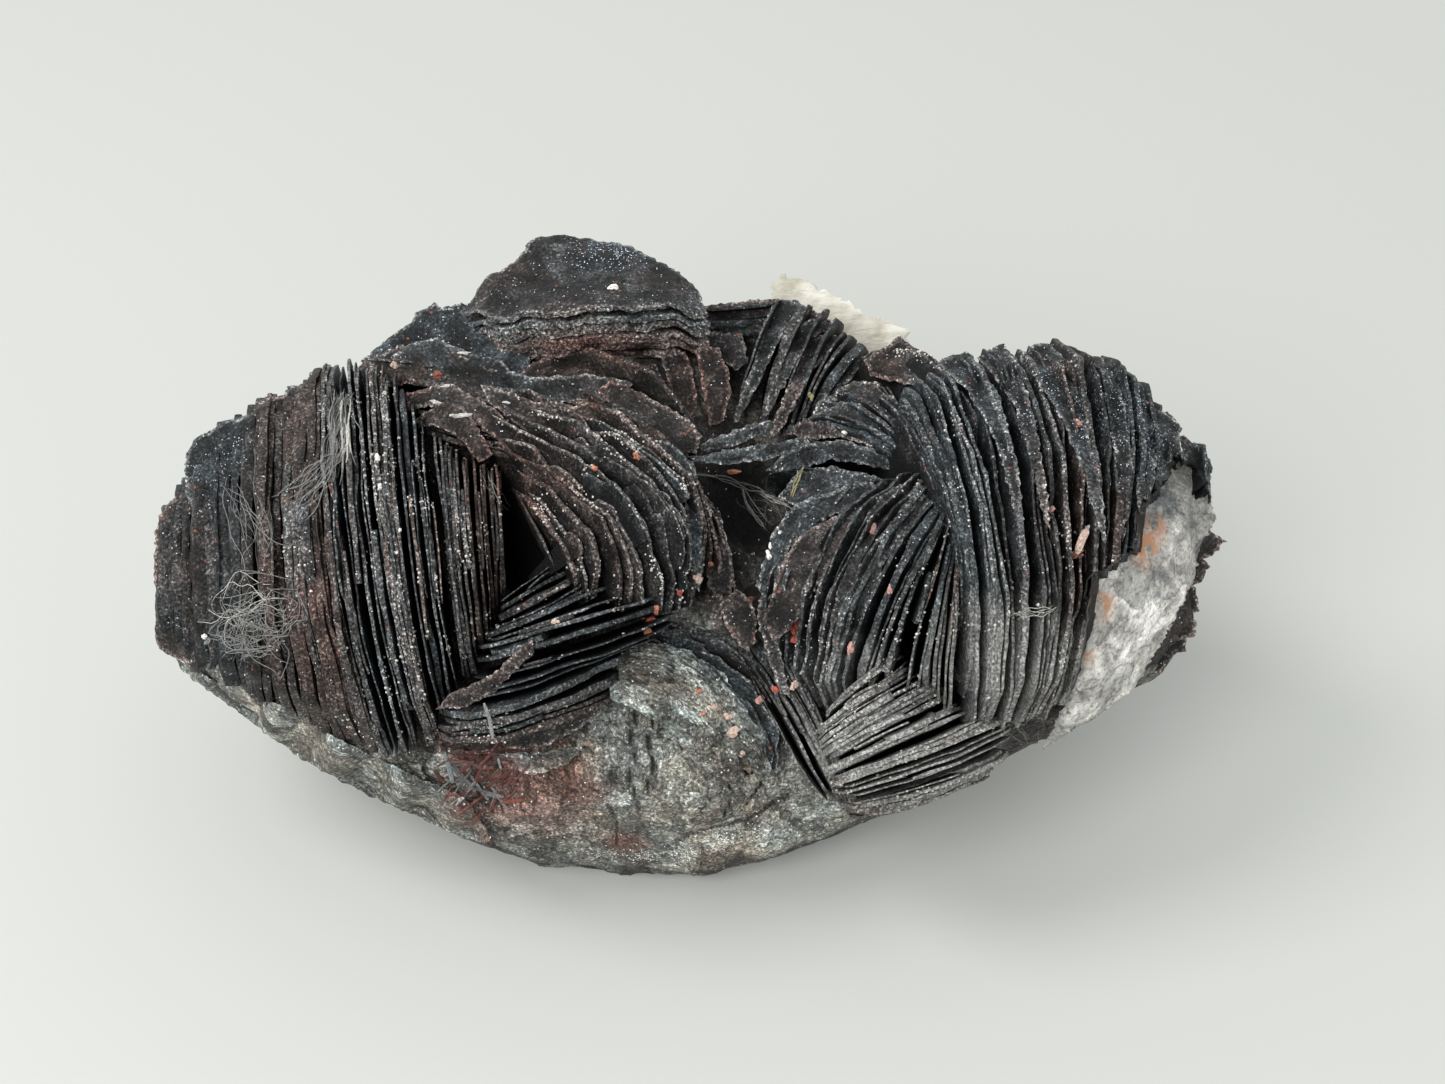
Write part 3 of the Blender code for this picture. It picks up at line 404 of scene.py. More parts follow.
        (97.6, 35.8, 0.2), (99, 34.9, -1.2), (100.3, 34.4, -1.6), (101.9, 36.6, 1.6), (103, 40, 6.2),
        (103.9, 44, 10), (104.8, 49.5, 13), (104.9, 53, 13), (104.2, 51, 12.8), (103, 45.6, 11.2),
        (101.4, 40.6, 7.4), (99.4, 37.6, 3.4))),
    "crest_face_c": (0.6, 0.6, (
        (101.9, 35.8, -0.4), (103.4, 34.6, -2), (104.9, 34.3, -2.4), (106.7, 36.2, 0), (107.8, 40, 4.6),
        (109.3, 45.2, 9.4), (110.4, 50, 11.8), (110.5, 54.5, 11.6), (109.6, 52, 11.6), (108, 46.4, 10.4),
        (106.2, 42, 7.4), (104, 38.4, 3.4))),
    "crest_face_d": (0.6, 0.4, (
        (107.5, 36.5, -1), (108.6, 35.6, -2.6), (110.2, 35.6, -3.2), (111.4, 37.4, -1.6), (112.6, 41, 2.8),
        (113.2, 45.6, 7), (113, 50.2, 9.2), (112.3, 54, 9.2), (111.8, 50, 9.4), (111.4, 45, 7.8),
        (110.4, 40, 3.6), (109, 37.8, 0.6))),
    "crest_face_e": (0.6, 0.55, (
        (111.6, 38.2, -2.4), (113.2, 38.2, -3.4), (115, 40.3, -1.8), (115.6, 43.8, 1.6), (115.4, 47.6, 5),
        (114.4, 51.4, 7.2), (113.8, 53.4, 7.2), (113.8, 49, 7), (113.9, 44.6, 4.2), (113, 40.4, 0))),
    "crest_face_f": (0.7, 0.5, (
        (115, 40.8, -2.4), (117, 41.3, -3.4), (118, 42.8, -2.2), (117.9, 45, 0.6), (117.2, 47.6, 2.6),
        (116, 48, 3.4), (116, 44, 1.2))),
    "crest_face_g": (0.7, 0.7, (
        (118, 43.5, -5.2), (120.1, 44.8, -6.4), (121.2, 46.4, -5.8), (121, 49, -3), (119.8, 49, -2),
        (118.4, 46, -3.4))),
    "lean_face_a": (0.6, 0.7, (
        (76.5, 32, -9.4), (77.7, 29.9, -11.4), (79.7, 30.1, -11.6), (81, 31, -11.2), (80, 31.8, -10),
        (78.3, 33.2, -8), (77, 36, -5), (75.3, 39.3, -4.6), (74, 42, -6), (73.3, 42.3, -6.4),
        (73.7, 40.7, -5.6), (75, 37, -5), (76, 34.3, -7))),
    "lean_face_b": (0.6, 0.55, (
        (79.3, 32.9, -9.4), (81, 31.9, -11), (82.7, 32.1, -11.4), (83.2, 32.8, -11), (81, 33.9, -8.6),
        (79.7, 36, -5.2), (78.3, 38.7, -4.4), (77, 41, -5), (76.3, 42, -5.6), (76.7, 40, -5),
        (78, 36.3, -6))),
    "lean_face_c": (0.6, 0.3, (
        (81, 33.9, -9.4), (83, 33.2, -10.8), (84.4, 33.8, -10.8), (83.3, 35.3, -8.4), (81.4, 36.8, -5.4),
        (80, 39.3, -4), (78.3, 42.6, -4.6), (77.3, 43.6, -5), (77, 43.2, -5.4), (78.3, 40, -4.6),
        (79.7, 36.7, -6.4))),
    "lean_face_d": (0.6, 0.5, (
        (84.3, 36.4, -8), (86.3, 35.5, -9.4), (86.8, 36.1, -9), (85, 38, -6.2), (83, 40.3, -4.6),
        (81.7, 42, -4.6), (81.3, 41.6, -5), (82.7, 39, -6))),
    "rear_blade_a": (0.8, 0.3, (
        (118.6, 52, -5.6), (121, 53.2, -7.4), (122.6, 54.1, -7.8), (121.2, 55.4, -7.6), (119.6, 56.2, -7),
        (117.6, 57.4, -6.4))),
    "rear_blade_b": (0.8, 0.15, (
        (118.6, 55.2, -6.8), (120.2, 55.9, -7.4), (120.9, 56.7, -7.8), (120, 58, -7.6), (118, 59.2, -7),
        (116.4, 58.8, -6.4))),
    "rear_blade_c": (0.8, 0.4, (
        (117.4, 57.4, -6.8), (119.5, 58.9, -7.6), (120, 61.1, -8), (118.4, 61.6, -7.6), (116.4, 60.4, -7))),
    "rear_blade_d": (0.8, 0.2, (
        (116.6, 59.8, -6.8), (119.7, 62.1, -7.8), (119.5, 63.6, -8), (117.8, 64, -7.6), (115.4, 62.4, -7))),
    "rear_blade_e": (0.8, 0.3, (
        (115.8, 62, -6.8), (118.6, 64, -7.8), (118.5, 65, -8), (116.8, 65.8, -7.6), (114.2, 64.8, -7))),
    "rear_blade_f": (0.8, 0.15, (
        (114.6, 64, -6.6), (117.2, 65.6, -7.6), (116.1, 67.5, -8), (114.4, 67.4, -7.6), (113, 66.4, -7))),
    "corner_slab": (1, 0.2, (
        (43.6, 71, 10.6), (44.6, 69.5, 11.4), (49, 67.5, 13.2), (53.2, 63.7, 14.6), (53.4, 65.2, 14.2),
        (49.6, 69.2, 12.6), (46.2, 70.8, 11.4))),
}

# The same, but weathered grey
PALE_FLAKES = {
    "grey_ledge": (0.9, 0.6, (
        (44, 74.7, 4.2), (47, 75, 4.8), (50, 75.2, 5), (53.6, 75.4, 5.2), (56.5, 74.9, 5.8),
        (58.6, 74.4, 6), (57, 76.2, 5), (53.5, 77.4, 4.2), (50, 76.8, 4), (46.5, 76.2, 3.6))),
    "far_shell": (1.2, 0.75, (
        (66, 62.9, 2), (70, 62.7, 1.6), (73, 64.2, 1.8), (75, 66.4, 1.8), (76.2, 69, 1.6),
        (73.4, 68.4, 3.2), (70, 66, 3.6), (67.4, 65, 3.2))),
    "near_shell": (1.2, 0.9, (
        (62.2, 64.4, 4.8), (64.8, 64.2, 4.6), (68.8, 65, 4.4), (72.4, 67.2, 4.2), (73.4, 69.2, 4),
        (76, 72.4, 2.8), (77.4, 76, 1.4), (76.6, 78.2, 0.8), (74.4, 75.6, 3.2), (71.6, 72, 5.2),
        (67.6, 69.6, 6.4), (63, 68.2, 6.6), (62, 66.2, 5.8))),
    "inner_shell": (1.1, 0.6, (
        (60.6, 67.2, 6), (63.4, 67.6, 6.6), (67.4, 69.4, 6.8), (71.2, 72.2, 5.6), (73.6, 75.6, 3.8),
        (74.6, 78.8, 2), (72, 78, 3.8), (69.6, 74.6, 5.8), (65.6, 71.8, 7), (61, 70, 6.8))),
}
# How many growth layers these shells show, each a little smaller and further out, and their root
SHELL_LAYERS = {"far_shell": 4, "near_shell": 7, "inner_shell": 5}
SHELL_ROOT = (61.5, 70.5)
LAYER_SHARE = 0.055
LAYER_RISE = 0.3
FLAKE_SPACING = 0.36

# The striated band along the lower left, where the stack's layers come out from under it
BAND_OUTLINE = (
    (17.6, 65.9, -6.4), (21, 67.9, -3.2), (28, 70.4, -0.4), (34.2, 74, 1), (41, 77.4, 2), (46.6, 79.8, 2.4),
    (49.6, 84.6, -2.4), (46.6, 83.9, -6.4), (42.1, 81.9, -8.2), (36.5, 79.4, -9), (29.7, 75.7, -9.6),
    (23.8, 71.3, -9.8), (21.3, 69.4, -9.6), (18, 66.8, -9.4),
)
BAND_THICKNESS = 2.6

# The block on top, as in the solids: its cap's outline, then the layers under it
BLOCK_OUTLINE = (
    (45.5, 30.9, -7), (50, 27, -6.5), (53.8, 23.8, -9.5), (56.4, 23.1, -10), (61, 24.2, -9),
    (66.4, 26.2, -7), (69.4, 28, -5), (70.8, 31.2, -3), (66, 30.4, 0.5), (60, 30.6, 1.2), (54, 31.2, 0.5),
    (49, 31.6, -2.5),
)
# Its layers from the top: (thickness, part of the outline, shift across, shift back, tone)
BLOCK_LAYERS = (
    (0.8, 1, 0, 0, 0.55), (0.4, 0.965, 0.4, 0.5, 0.1), (0.8, 0.985, 0.3, -0.2, 0.8),
    (0.35, 0.95, 0.6, 0.5, 0.2), (0.9, 0.975, 0.5, 0.1, 0.45), (0.35, 0.94, 0.8, 0.8, 0.1),
    (1, 0.965, 0.7, -0.1, 0.3), (0.4, 0.92, 1.2, 1, 0.6), (1.1, 0.94, 0.9, 0.5, 0.15),
    (0.5, 0.9, 1.3, 1.2, 0.4), (1.1, 0.92, 1, 1, 0.2),
)

# How wide the worn edge of a slab is, and how worn and pale, the paleness partly a painted highlight
EDGE_BAND = 0.5
SLAB_WEAR_AND_HIGHLIGHT = 1.5
EDGE_BEVEL = 0.35
# How far a slab's inner points stray and how far they keep from its border, in spacings
GRID_STRAY = 0.3
BORDER_ROOM = 0.45

# The mass that all plates grow from: (across, top, bottom, front, back)
BODY_SECTIONS = (
    (16.2, 54, 63, -4.5, -11),
    (19, 48.5, 67.3, -2.5, -15),
    (24, 44, 71.2, 0, -20),
    (30, 41, 75.6, 2, -24.5),
    (38, 39.5, 80.2, 3.5, -28),
    (46, 37, 84.2, 3.5, -30.5),
    (54, 33.5, 86.8, 2.5, -32.5),
    (62, 31.5, 87.7, 2.5, -33.5),
    (70, 33, 87.9, 2.5, -33.5),
    (78, 36.5, 86.2, 2, -32.5),
    (86, 39, 82.6, 3, -31),
    (94, 39, 79, 4, -29),
    (102, 39.5, 75.6, 4, -26.5),
    (110, 42.5, 71.6, 1, -22.5),
    (116, 47, 67.5, -3, -18.5),
    (119.6, 52, 62.5, -7, -14.5),
)
BODY_SQUARENESS = 2.25
BODY_POINTS = 280
BODY_STEP = 0.45
BODY_FOCUS = math.radians(125.0)
BODY_SETBACK = 0.4

# Swellings of its front, as the hollows below
BODY_SWELLINGS = (
    (66, 77.5, 8.5, 5.5, 4.2),
    (56, 79, 7, 4.5, 2),
    (93, 80, 6, 2.5, 1),
)

# Cracks across its belly
CRACKS = (
    ((63.5, 71.2), (63, 73.4), (63.4, 75.6), (63, 77.8), (63.8, 80.6)),
    ((65.4, 71.6), (64.8, 74), (65.3, 76.4), (64.6, 79.8)),
    ((71.4, 73.6), (71.8, 76.4), (73.2, 79.2), (72.4, 81.4)),
    ((60.6, 80.4), (61.8, 82.6), (61.4, 85.4)),
    ((74.6, 80.4), (76.6, 77.6), (77.4, 76)),
    ((66.6, 84.6), (70.4, 82.8), (74.6, 82), (79, 79.6)),
)
CRACK_WIDTH = 0.28
CRACK_DEPTH = 0.7

# Hollows in its front: (across, down, half width, half height, depth)
BODY_HOLLOWS = (
    (53, 55, 6, 6.5, 10),
    (76.5, 50, 7, 8, 10),
    (74, 38.5, 8, 5, 6),
    (90, 60, 7, 8, 6),
    (48, 77.5, 4.5, 2.6, 3),
)

# Where its colour changes: a place on the sheet and how far round it. A stain also has its hue and
# its share
BLUE_ZONES = (
    ((21.5, 46, -1), 4), ((61, 25.5, -8), 5), ((43, 33, -6), 2.6), ((69, 50, 7), 4.5), ((100, 42, 4), 11),
    ((112, 44, 2), 9),
)
BROWN_ZONES = (
    ((50.5, 28.5, -7), 4.5), ((66, 28.6, -4), 3), ((57, 33.5, -1), 5), ((19.5, 56, -1), 7),
    ((30, 60, 8), 9), ((53, 47, 3), 8), ((60, 37.5, -2), 6), ((70.5, 39, -5), 4.5), ((88, 37, -3), 3),
    ((40, 38, -2), 3.5), ((48, 77, 5), 6),
)
PALE_ZONES = (
    ((87, 76, 10), 11), ((94, 75.5, 7), 11), ((101, 73.5, 4), 7), ((99.5, 66, 11), 8), ((103.6, 66, 9), 6),
    ((34, 42, 0), 2.2),
)
BELLY_ZONES = (
    ((66, 76, 0), 13), ((54, 79, 0), 9), ((78, 81, -2), 11), ((92, 78, 0), 10), ((70.5, 70, 4), 6.6),
    ((33, 75.5, -3), 10), ((44, 80.5, -2), 6), ((58, 83, -8), 8), ((70, 83, -4), 9), ((66, 70, 3), 6),
)
# Painted shade: where the mass shows in its hollows and behind the plates, darkened to near black
PAINTED_SHADE_ZONES = (
    ((76, 50, -6), 9.5), ((53, 55, 0), 6), ((72, 57, -2), 5), ((90, 60, 2), 7), ((46, 50, 0), 7),
    ((34, 50, 0), 10),
)
SPARKLE_ZONES = (
    ((60.5, 86.2, -8), 2), ((64, 86.6, -8), 2), ((68, 86.2, -7), 2.2), ((72, 85.2, -5), 2.2),
    ((75.5, 84.4, -4), 2), ((21.5, 46, -1), 3),
)
STAINS = (
    ((52, 79.5, 0), 8.8, (0.6, 0.34, 0.31, 1), 0.95),
    ((56.5, 77.5, 2), 4.5, (0.78, 0.56, 0.53, 1), 0.8),
    ((48, 76.5, 2), 5, (0.5, 0.17, 0.15, 1), 0.9),
    ((74, 76, 1), 2.8, (0.75, 0.42, 0.32, 1), 0.8),
    ((62.5, 84, -6), 3, (0.6, 0.25, 0.2, 1), 0.8),
)
# The same on the crust
GLASSY_ZONES = (((118.8, 50.6, -2), 5.6), ((115.8, 57.6, 0.5), 3))
RUSTY_ZONES = (
    ((114.4, 54.4, 1), 2.7), ((116.4, 52.4, 0), 2), ((110, 60.8, 4.5), 1.8), ((108.8, 66, 4.5), 1.4),
)

# What is lodged on the crystals
TINTS = {
    "red": (0.33, 0.075, 0.055), "orange": (0.34, 0.14, 0.085), "pink": (0.38, 0.21, 0.185),
    "peach": (0.4, 0.3, 0.25), "white": (0.66, 0.65, 0.61), "dust": (0.17, 0.172, 0.165),
    "pale": (0.4, 0.39, 0.36), "rust": (0.15, 0.048, 0.03), "dark_red": (0.115, 0.042, 0.036),
    "lichen": (0.24, 0.22, 0.11), "steel": (0.2, 0.225, 0.235),
}
# Each grain is (across, down, width, height, tint)
GRAINS = (
    (108.8, 52.6, 0.9, 0.6, "white"), (107.7, 55.3, 0.9, 1, "orange"), (107.9, 42.3, 1, 0.7, "pink"),
    (105.2, 50.9, 0.7, 0.7, "pink"), (87.5, 53, 0.8, 1.2, "pink"), (89.1, 58.8, 0.7, 1, "pink"),
    (85, 64.9, 0.7, 1.2, "pink"), (103.8, 60.4, 0.4, 0.4, "white"), (79.4, 62.6, 1, 1.2, "red"),
    (79.6, 63.9, 1.1, 1, "red"), (79.5, 68.4, 0.7, 1, "peach"), (65.6, 61, 1, 0.9, "orange"),
    (65.1, 62, 1.1, 0.8, "red"), (64.7, 63.3, 0.8, 1, "orange"), (64.3, 61.8, 0.6, 0.5, "pink"),
    (69.7, 57.9, 1, 0.8, "peach"), (68.1, 59.2, 0.7, 0.7, "red"), (73, 47.2, 1.6, 0.6, "orange"),
    (75, 59.8, 0.7, 0.6, "orange"), (71, 56.4, 0.6, 0.6, "orange"), (75.9, 70, 0.8, 0.9, "pink"),
    (77.6, 69, 0.8, 0.6, "red"), (73.2, 73.2, 1.2, 0.8, "peach"), (74.3, 75.3, 0.6, 0.5, "peach"),
    (69.9, 69.2, 0.7, 0.6, "orange"), (71.3, 70.6, 0.8, 0.5, "peach"), (70.3, 71.3, 0.6, 0.5, "orange"),
    (72.8, 71.6, 0.7, 0.6, "peach"), (58.8, 74.3, 0.9, 0.6, "peach"), (46.1, 79.9, 0.5, 0.4, "pale"),
    (63.6, 45.6, 0.7, 0.8, "orange"), (59.5, 46.8, 0.6, 0.5, "orange"), (43.5, 37.5, 1.3, 0.8, "rust"),
    (46.3, 35.3, 1.5, 0.4, "pale"), (46, 41.6, 1.8, 0.5, "pale"), (43.6, 40.2, 1, 0.35, "pale"),
    (44.6, 38.6, 1.9, 0.3, "pale"), (50.6, 40.2, 0.7, 0.3, "pale"), (39.5, 36.5, 0.8, 1, "peach"),
    (61.3, 28.8, 1, 0.6, "white"), (39.6, 55.3, 0.5, 0.4, "white"), (40, 53, 0.35, 0.35, "white"),
    (37.8, 45.8, 0.6, 0.7, "white"), (38, 48.6, 0.5, 0.8, "white"), (38.5, 57, 0.4, 1, "white"),
    (20.9, 64.1, 1, 0.8, "dust"), (20.5, 63.6, 0.6, 0.6, "white"), (55.6, 62.2, 0.7, 0.6, "peach"),
    (78, 53.3, 0.35, 0.4, "white"), (76.8, 55.5, 0.8, 0.9, "white"), (77, 54.6, 0.4, 0.6, "white"),
    (62.2, 61, 0.4, 0.4, "peach"), (83.6, 40, 0.6, 0.4, "dust"), (81.1, 39.6, 0.5, 0.8, "lichen"),
    (84.5, 43.2, 0.5, 0.4, "white"), (102.8, 61.3, 0.5, 0.5, "dust"),
)
# Sticks and slats: (width, depth, tint, the line that it follows)
SLATS = (
    (0.8, 0.8, "peach", ((108.75, 52.9), (108.2, 54), (107.7, 55.4))),
    (0.5, 0.3, "steel", ((44.5, 75.3), (45.3, 78.3))), (0.4, 0.3, "steel", ((45.3, 76.5), (47.3, 78.8))),
    (0.4, 0.3, "steel", ((47, 77.5), (48.8, 80))), (0.25, 0.2, "steel", ((49.8, 75.8), (50.1, 76.9))),
    (0.4, 0.3, "dust", ((48.4, 70.3), (49, 72), (49.3, 73.9))),
)
# The red lattice: how many sticks, their directions in degrees, lengths and widths, and where they lie
LATTICE_COUNT = 46
LATTICE_WAYS = ((8, 9), (52, 10), (-48, 12))
LATTICE_LENGTH = (0.8, 3.6)
LATTICE_WIDTH = (0.16, 0.42)
LATTICE_AREA = ((43.4, 76), (49.4, 75.4), (52.6, 77.4), (51.2, 80.6), (47.2, 81.8), (44, 79.2))
# Groups of threads: how many, where they start and how spread, where they end, their bow, thickness
# and tint
THREADS = (
    (30, (34.2, 39.6), (1, 0.7), (33.4, 46.6), (2, 1.4), 0.7, 0.11, "dust"),
    (10, (34.4, 40), (0.6, 0.5), (34, 46), (1.2, 1), 0.5, 0.16, "pale"),
    (14, (33.4, 45.5), (1.8, 1), (29.8, 50), (3, 2.4), 0.8, 0.08, "dust"),
    (34, (23.6, 61), (2.8, 2.6), (26.8, 64.4), (2.6, 2.8), 2.6, 0.08, "dust"),
    (24, (27.5, 59.4), (2.6, 2.2), (24, 65), (3, 2.2), 3.2, 0.07, "dust"),
    (7, (22, 62.5), (2, 2.6), (28.6, 60), (2, 1.6), 2.4, 0.07, "pale"),
    (16, (25, 49), (3, 3), (26.4, 56), (3.6, 3), 0.9, 0.06, "dust"),
    (3, (69.7, 47.4), (0.3, 0.2), (74, 48.4), (0.4, 0.3), 0.3, 0.1, "dust"),
    (3, (74, 48.4), (0.3, 0.2), (76.4, 49.3), (0.3, 0.3), 0.3, 0.14, "dust"),
    (4, (76.2, 49.2), (0.3, 0.2), (79, 50.6), (0.4, 0.3), 0.3, 0.1, "pale"),
    (4, (74.2, 48.6), (0.3, 0.2), (76.4, 52.6), (0.5, 0.4), 0.4, 0.14, "dust"),
    (3, (80.3, 46.6), (0.2, 0.1), (79, 49.6), (0.2, 0.2), 0.2, 0.14, "lichen"),
    (10, (75.2, 49.6), (1.2, 1.2), (78, 52), (1.6, 1.6), 0.8, 0.05, "dust"),
    (5, (101.4, 61.6), (0.6, 0.4), (105.4, 60.9), (0.4, 0.3), 0.6, 0.06, "pale"),
    (3, (101.3, 72.4), (0.4, 0.3), (103.3, 71.6), (0.4, 0.3), 0.5, 0.11, "dust"),
    (5, (101.6, 73), (1, 0.5), (103.4, 74.2), (0.6, 0.4), 0.6, 0.1, "dust"),
    (3, (49, 47.5), (0.6, 0.6), (50.6, 51), (0.5, 0.6), 0.5, 0.07, "dust"),
)
THREAD_POINTS = 14
THREAD_LIFT = 0.12
THREAD_BEND = 0.4
THREAD_WAVE = 0.16
TUBE_SIDES = 5
TUBE_TAPER = 0.55
# How many rounds of pulling straight a thread and a slat get
THREAD_PULLS = 12
SLAT_PULLS = 40
LUMPS_IN_GRAIN = 4

# The pale pieces, as in the solids
CRUST_OUTLINE = (
    (117.4, 45.6), (119, 46.2), (120.9, 49.4), (121.5, 51.8), (120.2, 54.6), (119.4, 58), (117.4, 61.8),
    (115.4, 65.6), (113, 69.4), (108.8, 72.2), (104.2, 75), (106.6, 70.6), (107.9, 66.4), (108.8, 62),
    (109.2, 58), (112, 56), (114, 54.6), (113.6, 51.4), (115.6, 49.4),
)
CRUST_FACE_AT = (109.0, 58.0)
CRUST_FACE_OUT = 5.5
CRUST_FALL = 0.85
CRUST_BEND = 0.03
CRUST_THICKNESS = 4.0
CRUST_TURN = math.radians(-50.0)
FLAKE_OUTLINE = (
    (77, 28.3), (78.3, 27.5), (80.2, 27.7), (82, 29), (85, 30.1), (86.8, 31.7), (88.6, 32), (90.8, 33.3),
    (91.2, 35), (90.2, 40), (88, 45), (83, 45.5), (80, 41), (78.4, 34),
)
FLAKE_OUT = -19.0
FLAKE_THICKNESS = 2.2
CLEARANCE = 0.5

# Above these angles an edge stays sharp
HEMATITE_SHARP = math.radians(48.0)
MATRIX_SHARP = math.radians(40.0)
SENSOR_WIDTH = 36.0


# Places

def world(points):
    """Sheet points (across, down, out) in millimetres, one or many, as world metres."""
    points = np.asarray(points, float)
    nearness = 1.0 - points[..., 2] / EYE_DISTANCE
    right = (points[..., 0] - SHEET_MIDDLE[0]) * nearness
    up = (SHEET_MIDDLE[1] - points[..., 1]) * nearness
    spread_out = right[..., None] * RIGHT + up[..., None] * UP + points[..., 2, None] * OUT
    return (np.array(SHEET_STANDS_AT) + spread_out) * MM


def sheet(places):
    """World metres back to sheet points."""
    places = np.asarray(places, float) / MM - np.array(SHEET_STANDS_AT)
    out = places @ OUT
    nearness = 1.0 - out / EYE_DISTANCE
    across = SHEET_MIDDLE[0] + places @ RIGHT / nearness
    down = SHEET_MIDDLE[1] - places @ UP / nearness
    return np.stack([across, down, out], axis=-1)


def inside(points, outline):
    """Which of the points, given by their first two numbers, lie inside a flat outline."""
    x, y = points[..., 0], points[..., 1]
    crossings = np.zeros(x.shape, bool)
    for a, b in zip(outline, outline[1:] + outline[:1]):
        spans = (a[1] > y) != (b[1] > y)
        rise = b[1] - a[1] if b[1] != a[1] else 1.0
        crossings ^= spans & (x < (b[0] - a[0]) * (y - a[1]) / rise + a[0])
    return crossings


def crust_out(across, down):
    """How far out of the sheet the crust's face stands."""
    side = np.maximum(0.0, across - CRUST_FACE_AT[0])
    return CRUST_FACE_OUT - CRUST_FALL * side - CRUST_BEND * (down - CRUST_FACE_AT[1]) ** 2


# Node trees

class Graph:
    """Adds nodes to a tree and links them, so that a step of arithmetic reads as one call."""

    def __init__(self, tree):
        self.tree = tree

    def feed(self, socket, value):
        if isinstance(value, bpy.types.NodeSocket):
            self.tree.links.new(value, socket)
        else:
            socket.default_value = value

    def node(self, kind, inputs=None, **settings):
        made = self.tree.nodes.new(kind)
        for key, value in settings.items():
            setattr(made, key, value)
        for key, value in (inputs or {}).items():
            socket = made.inputs[key] if isinstance(key, int) else self.enabled(made.inputs, key)
            self.feed(socket, value)
        return made

    @staticmethod
    def enabled(sockets, name):
        return next(s for s in sockets if s.name == name and s.enabled)

    def math(self, operation, *values):
        made = self.node("ShaderNodeMath", dict(enumerate(values)), operation=operation)
        return made.outputs[0]

    def times(self, first, second):
        return self.math("MULTIPLY", first, second)

    def plus(self, first, second):
        return self.math("ADD", first, second)

    def minus(self, first, second):
        return self.math("SUBTRACT", first, second)

    def vector(self, operation, *values):
        made = self.node("ShaderNodeVectorMath", dict(enumerate(values)), operation=operation)
        numeric = operation in ("DOT_PRODUCT", "LENGTH", "DISTANCE")
        return made.outputs["Value" if numeric else "Vector"]

    def scaled(self, vector, factor):
        made = self.node("ShaderNodeVectorMath", {0: vector, "Scale": factor}, operation="SCALE")
        return made.outputs["Vector"]

    def drawn_out(self, vector, angle, stretch):
        """Turned about the line of sight and then stretched, so that patterns can run along a slope."""
        turned = self.node("ShaderNodeVectorRotate", {
            "Vector": vector, "Axis": tuple(OUT), "Angle": angle}, rotation_type="AXIS_ANGLE")
        return self.vector("MULTIPLY", turned.outputs["Vector"], stretch)

    def between(self, low, high, factor):
        return self.plus(low, self.times(self.minus(high, low), factor))

    def noise(self, vector, scale, detail=2.0, roughness=0.5):
        made = self.node("ShaderNodeTexNoise", {
            "Vector": vector, "Scale": scale, "Detail": detail, "Roughness": roughness})
        return made.outputs["Fac"]

    def swing(self, vector, scale, detail=2.0, roughness=0.5):
        """Noise that swings about nought, from about -1 to 1."""
        value = self.noise(vector, scale, detail, roughness)
        return self.times(self.minus(value, 0.5), 2.6)

    def curve(self, value, points):
        made = self.node("ShaderNodeFloatCurve", {"Value": value})
        line = made.mapping.curves[0]
        line.points[0].location = points[0]
        line.points[1].location = points[-1]
        for point in points[1:-1]:
            line.points.new(*point)
        for point in line.points:
            point.handle_type = "VECTOR"
        made.mapping.update()
        return made.outputs["Value"]

    def ramp(self, value, stops):
        """A colour ramp. Each stop is (place, colour)."""
        made = self.node("ShaderNodeValToRGB", {"Fac": value})
        elements = made.color_ramp.elements
        while len(elements) < len(stops):
            elements.new(0.5)
        for element, (place, colour) in zip(elements, stops):
            element.position = place
            element.color = (*colour, 1.0)
        return made.outputs["Color"]

    def stored(self, geometry, name, value, data_type="FLOAT"):
        """Geometry with a value stored on each of its points."""
        made = self.node("GeometryNodeStoreNamedAttribute", {
            "Geometry": geometry, "Name": name, "Value": value}, data_type=data_type, domain="POINT")
        return made.outputs["Geometry"]

    def named(self, name, data_type="FLOAT"):
        made = self.node("GeometryNodeInputNamedAttribute", {"Name": name}, data_type=data_type)
        return self.enabled(made.outputs, "Attribute")

    def painted(self, name):
        """A value stored on the mesh, as a shader reads it."""
        return self.node("ShaderNodeAttribute", attribute_name=name).outputs["Fac"]

    def realized(self, geometry):
        return self.node("GeometryNodeRealizeInstances", {"Geometry": geometry}).outputs["Geometry"]

    def coated(self, geometry, material):
        made = self.node("GeometryNodeSetMaterial", {"Geometry": geometry, "Material": material})
        return made.outputs["Geometry"]

    def mixed(self, first, second, factor, blend="MIX"):
        made = self.node("ShaderNodeMix", data_type="RGBA", blend_type=blend)
        self.feed(made.inputs[0], factor)
        self.feed(self.enabled(made.inputs, "A"), first)
        self.feed(self.enabled(made.inputs, "B"), second)
        return self.enabled(made.outputs, "Result")


def new_tree(name, kind, inputs, outputs):
    """A node tree with its named inputs, each (name, sort of socket, value), and its named outputs."""
    tree = bpy.data.node_groups.new(name, kind)
    for label, sort, value in inputs:
        socket = tree.interface.new_socket(name=label, in_out="INPUT", socket_type="NodeSocket" + sort)
        if value is not None:
            socket.default_value = value
    for label, sort in outputs:
        tree.interface.new_socket(name=label, in_out="OUTPUT", socket_type="NodeSocket" + sort)
    graph = Graph(tree)
    return tree, graph, graph.node("NodeGroupInput").outputs, graph.node("NodeGroupOutput").inputs


def grown_by(tree, mesh_object, **values):
    """Runs a Geometry Nodes tree on an object and returns the result as a plain mesh object."""
    modifier = mesh_object.modifiers.new(tree.name, "NODES")
    modifier.node_group = tree
    sockets = {s.name: s.identifier for s in tree.interface.items_tree if s.in_out == "INPUT"}
    for label, value in values.items():
        modifier[sockets[label]] = value
    name = mesh_object.name
    graph = bpy.context.evaluated_depsgraph_get()
    mesh = bpy.data.meshes.new_from_object(mesh_object.evaluated_get(graph))
    bpy.data.objects.remove(mesh_object)
    mesh.name = name
    return linked(bpy.data.objects.new(name, mesh))


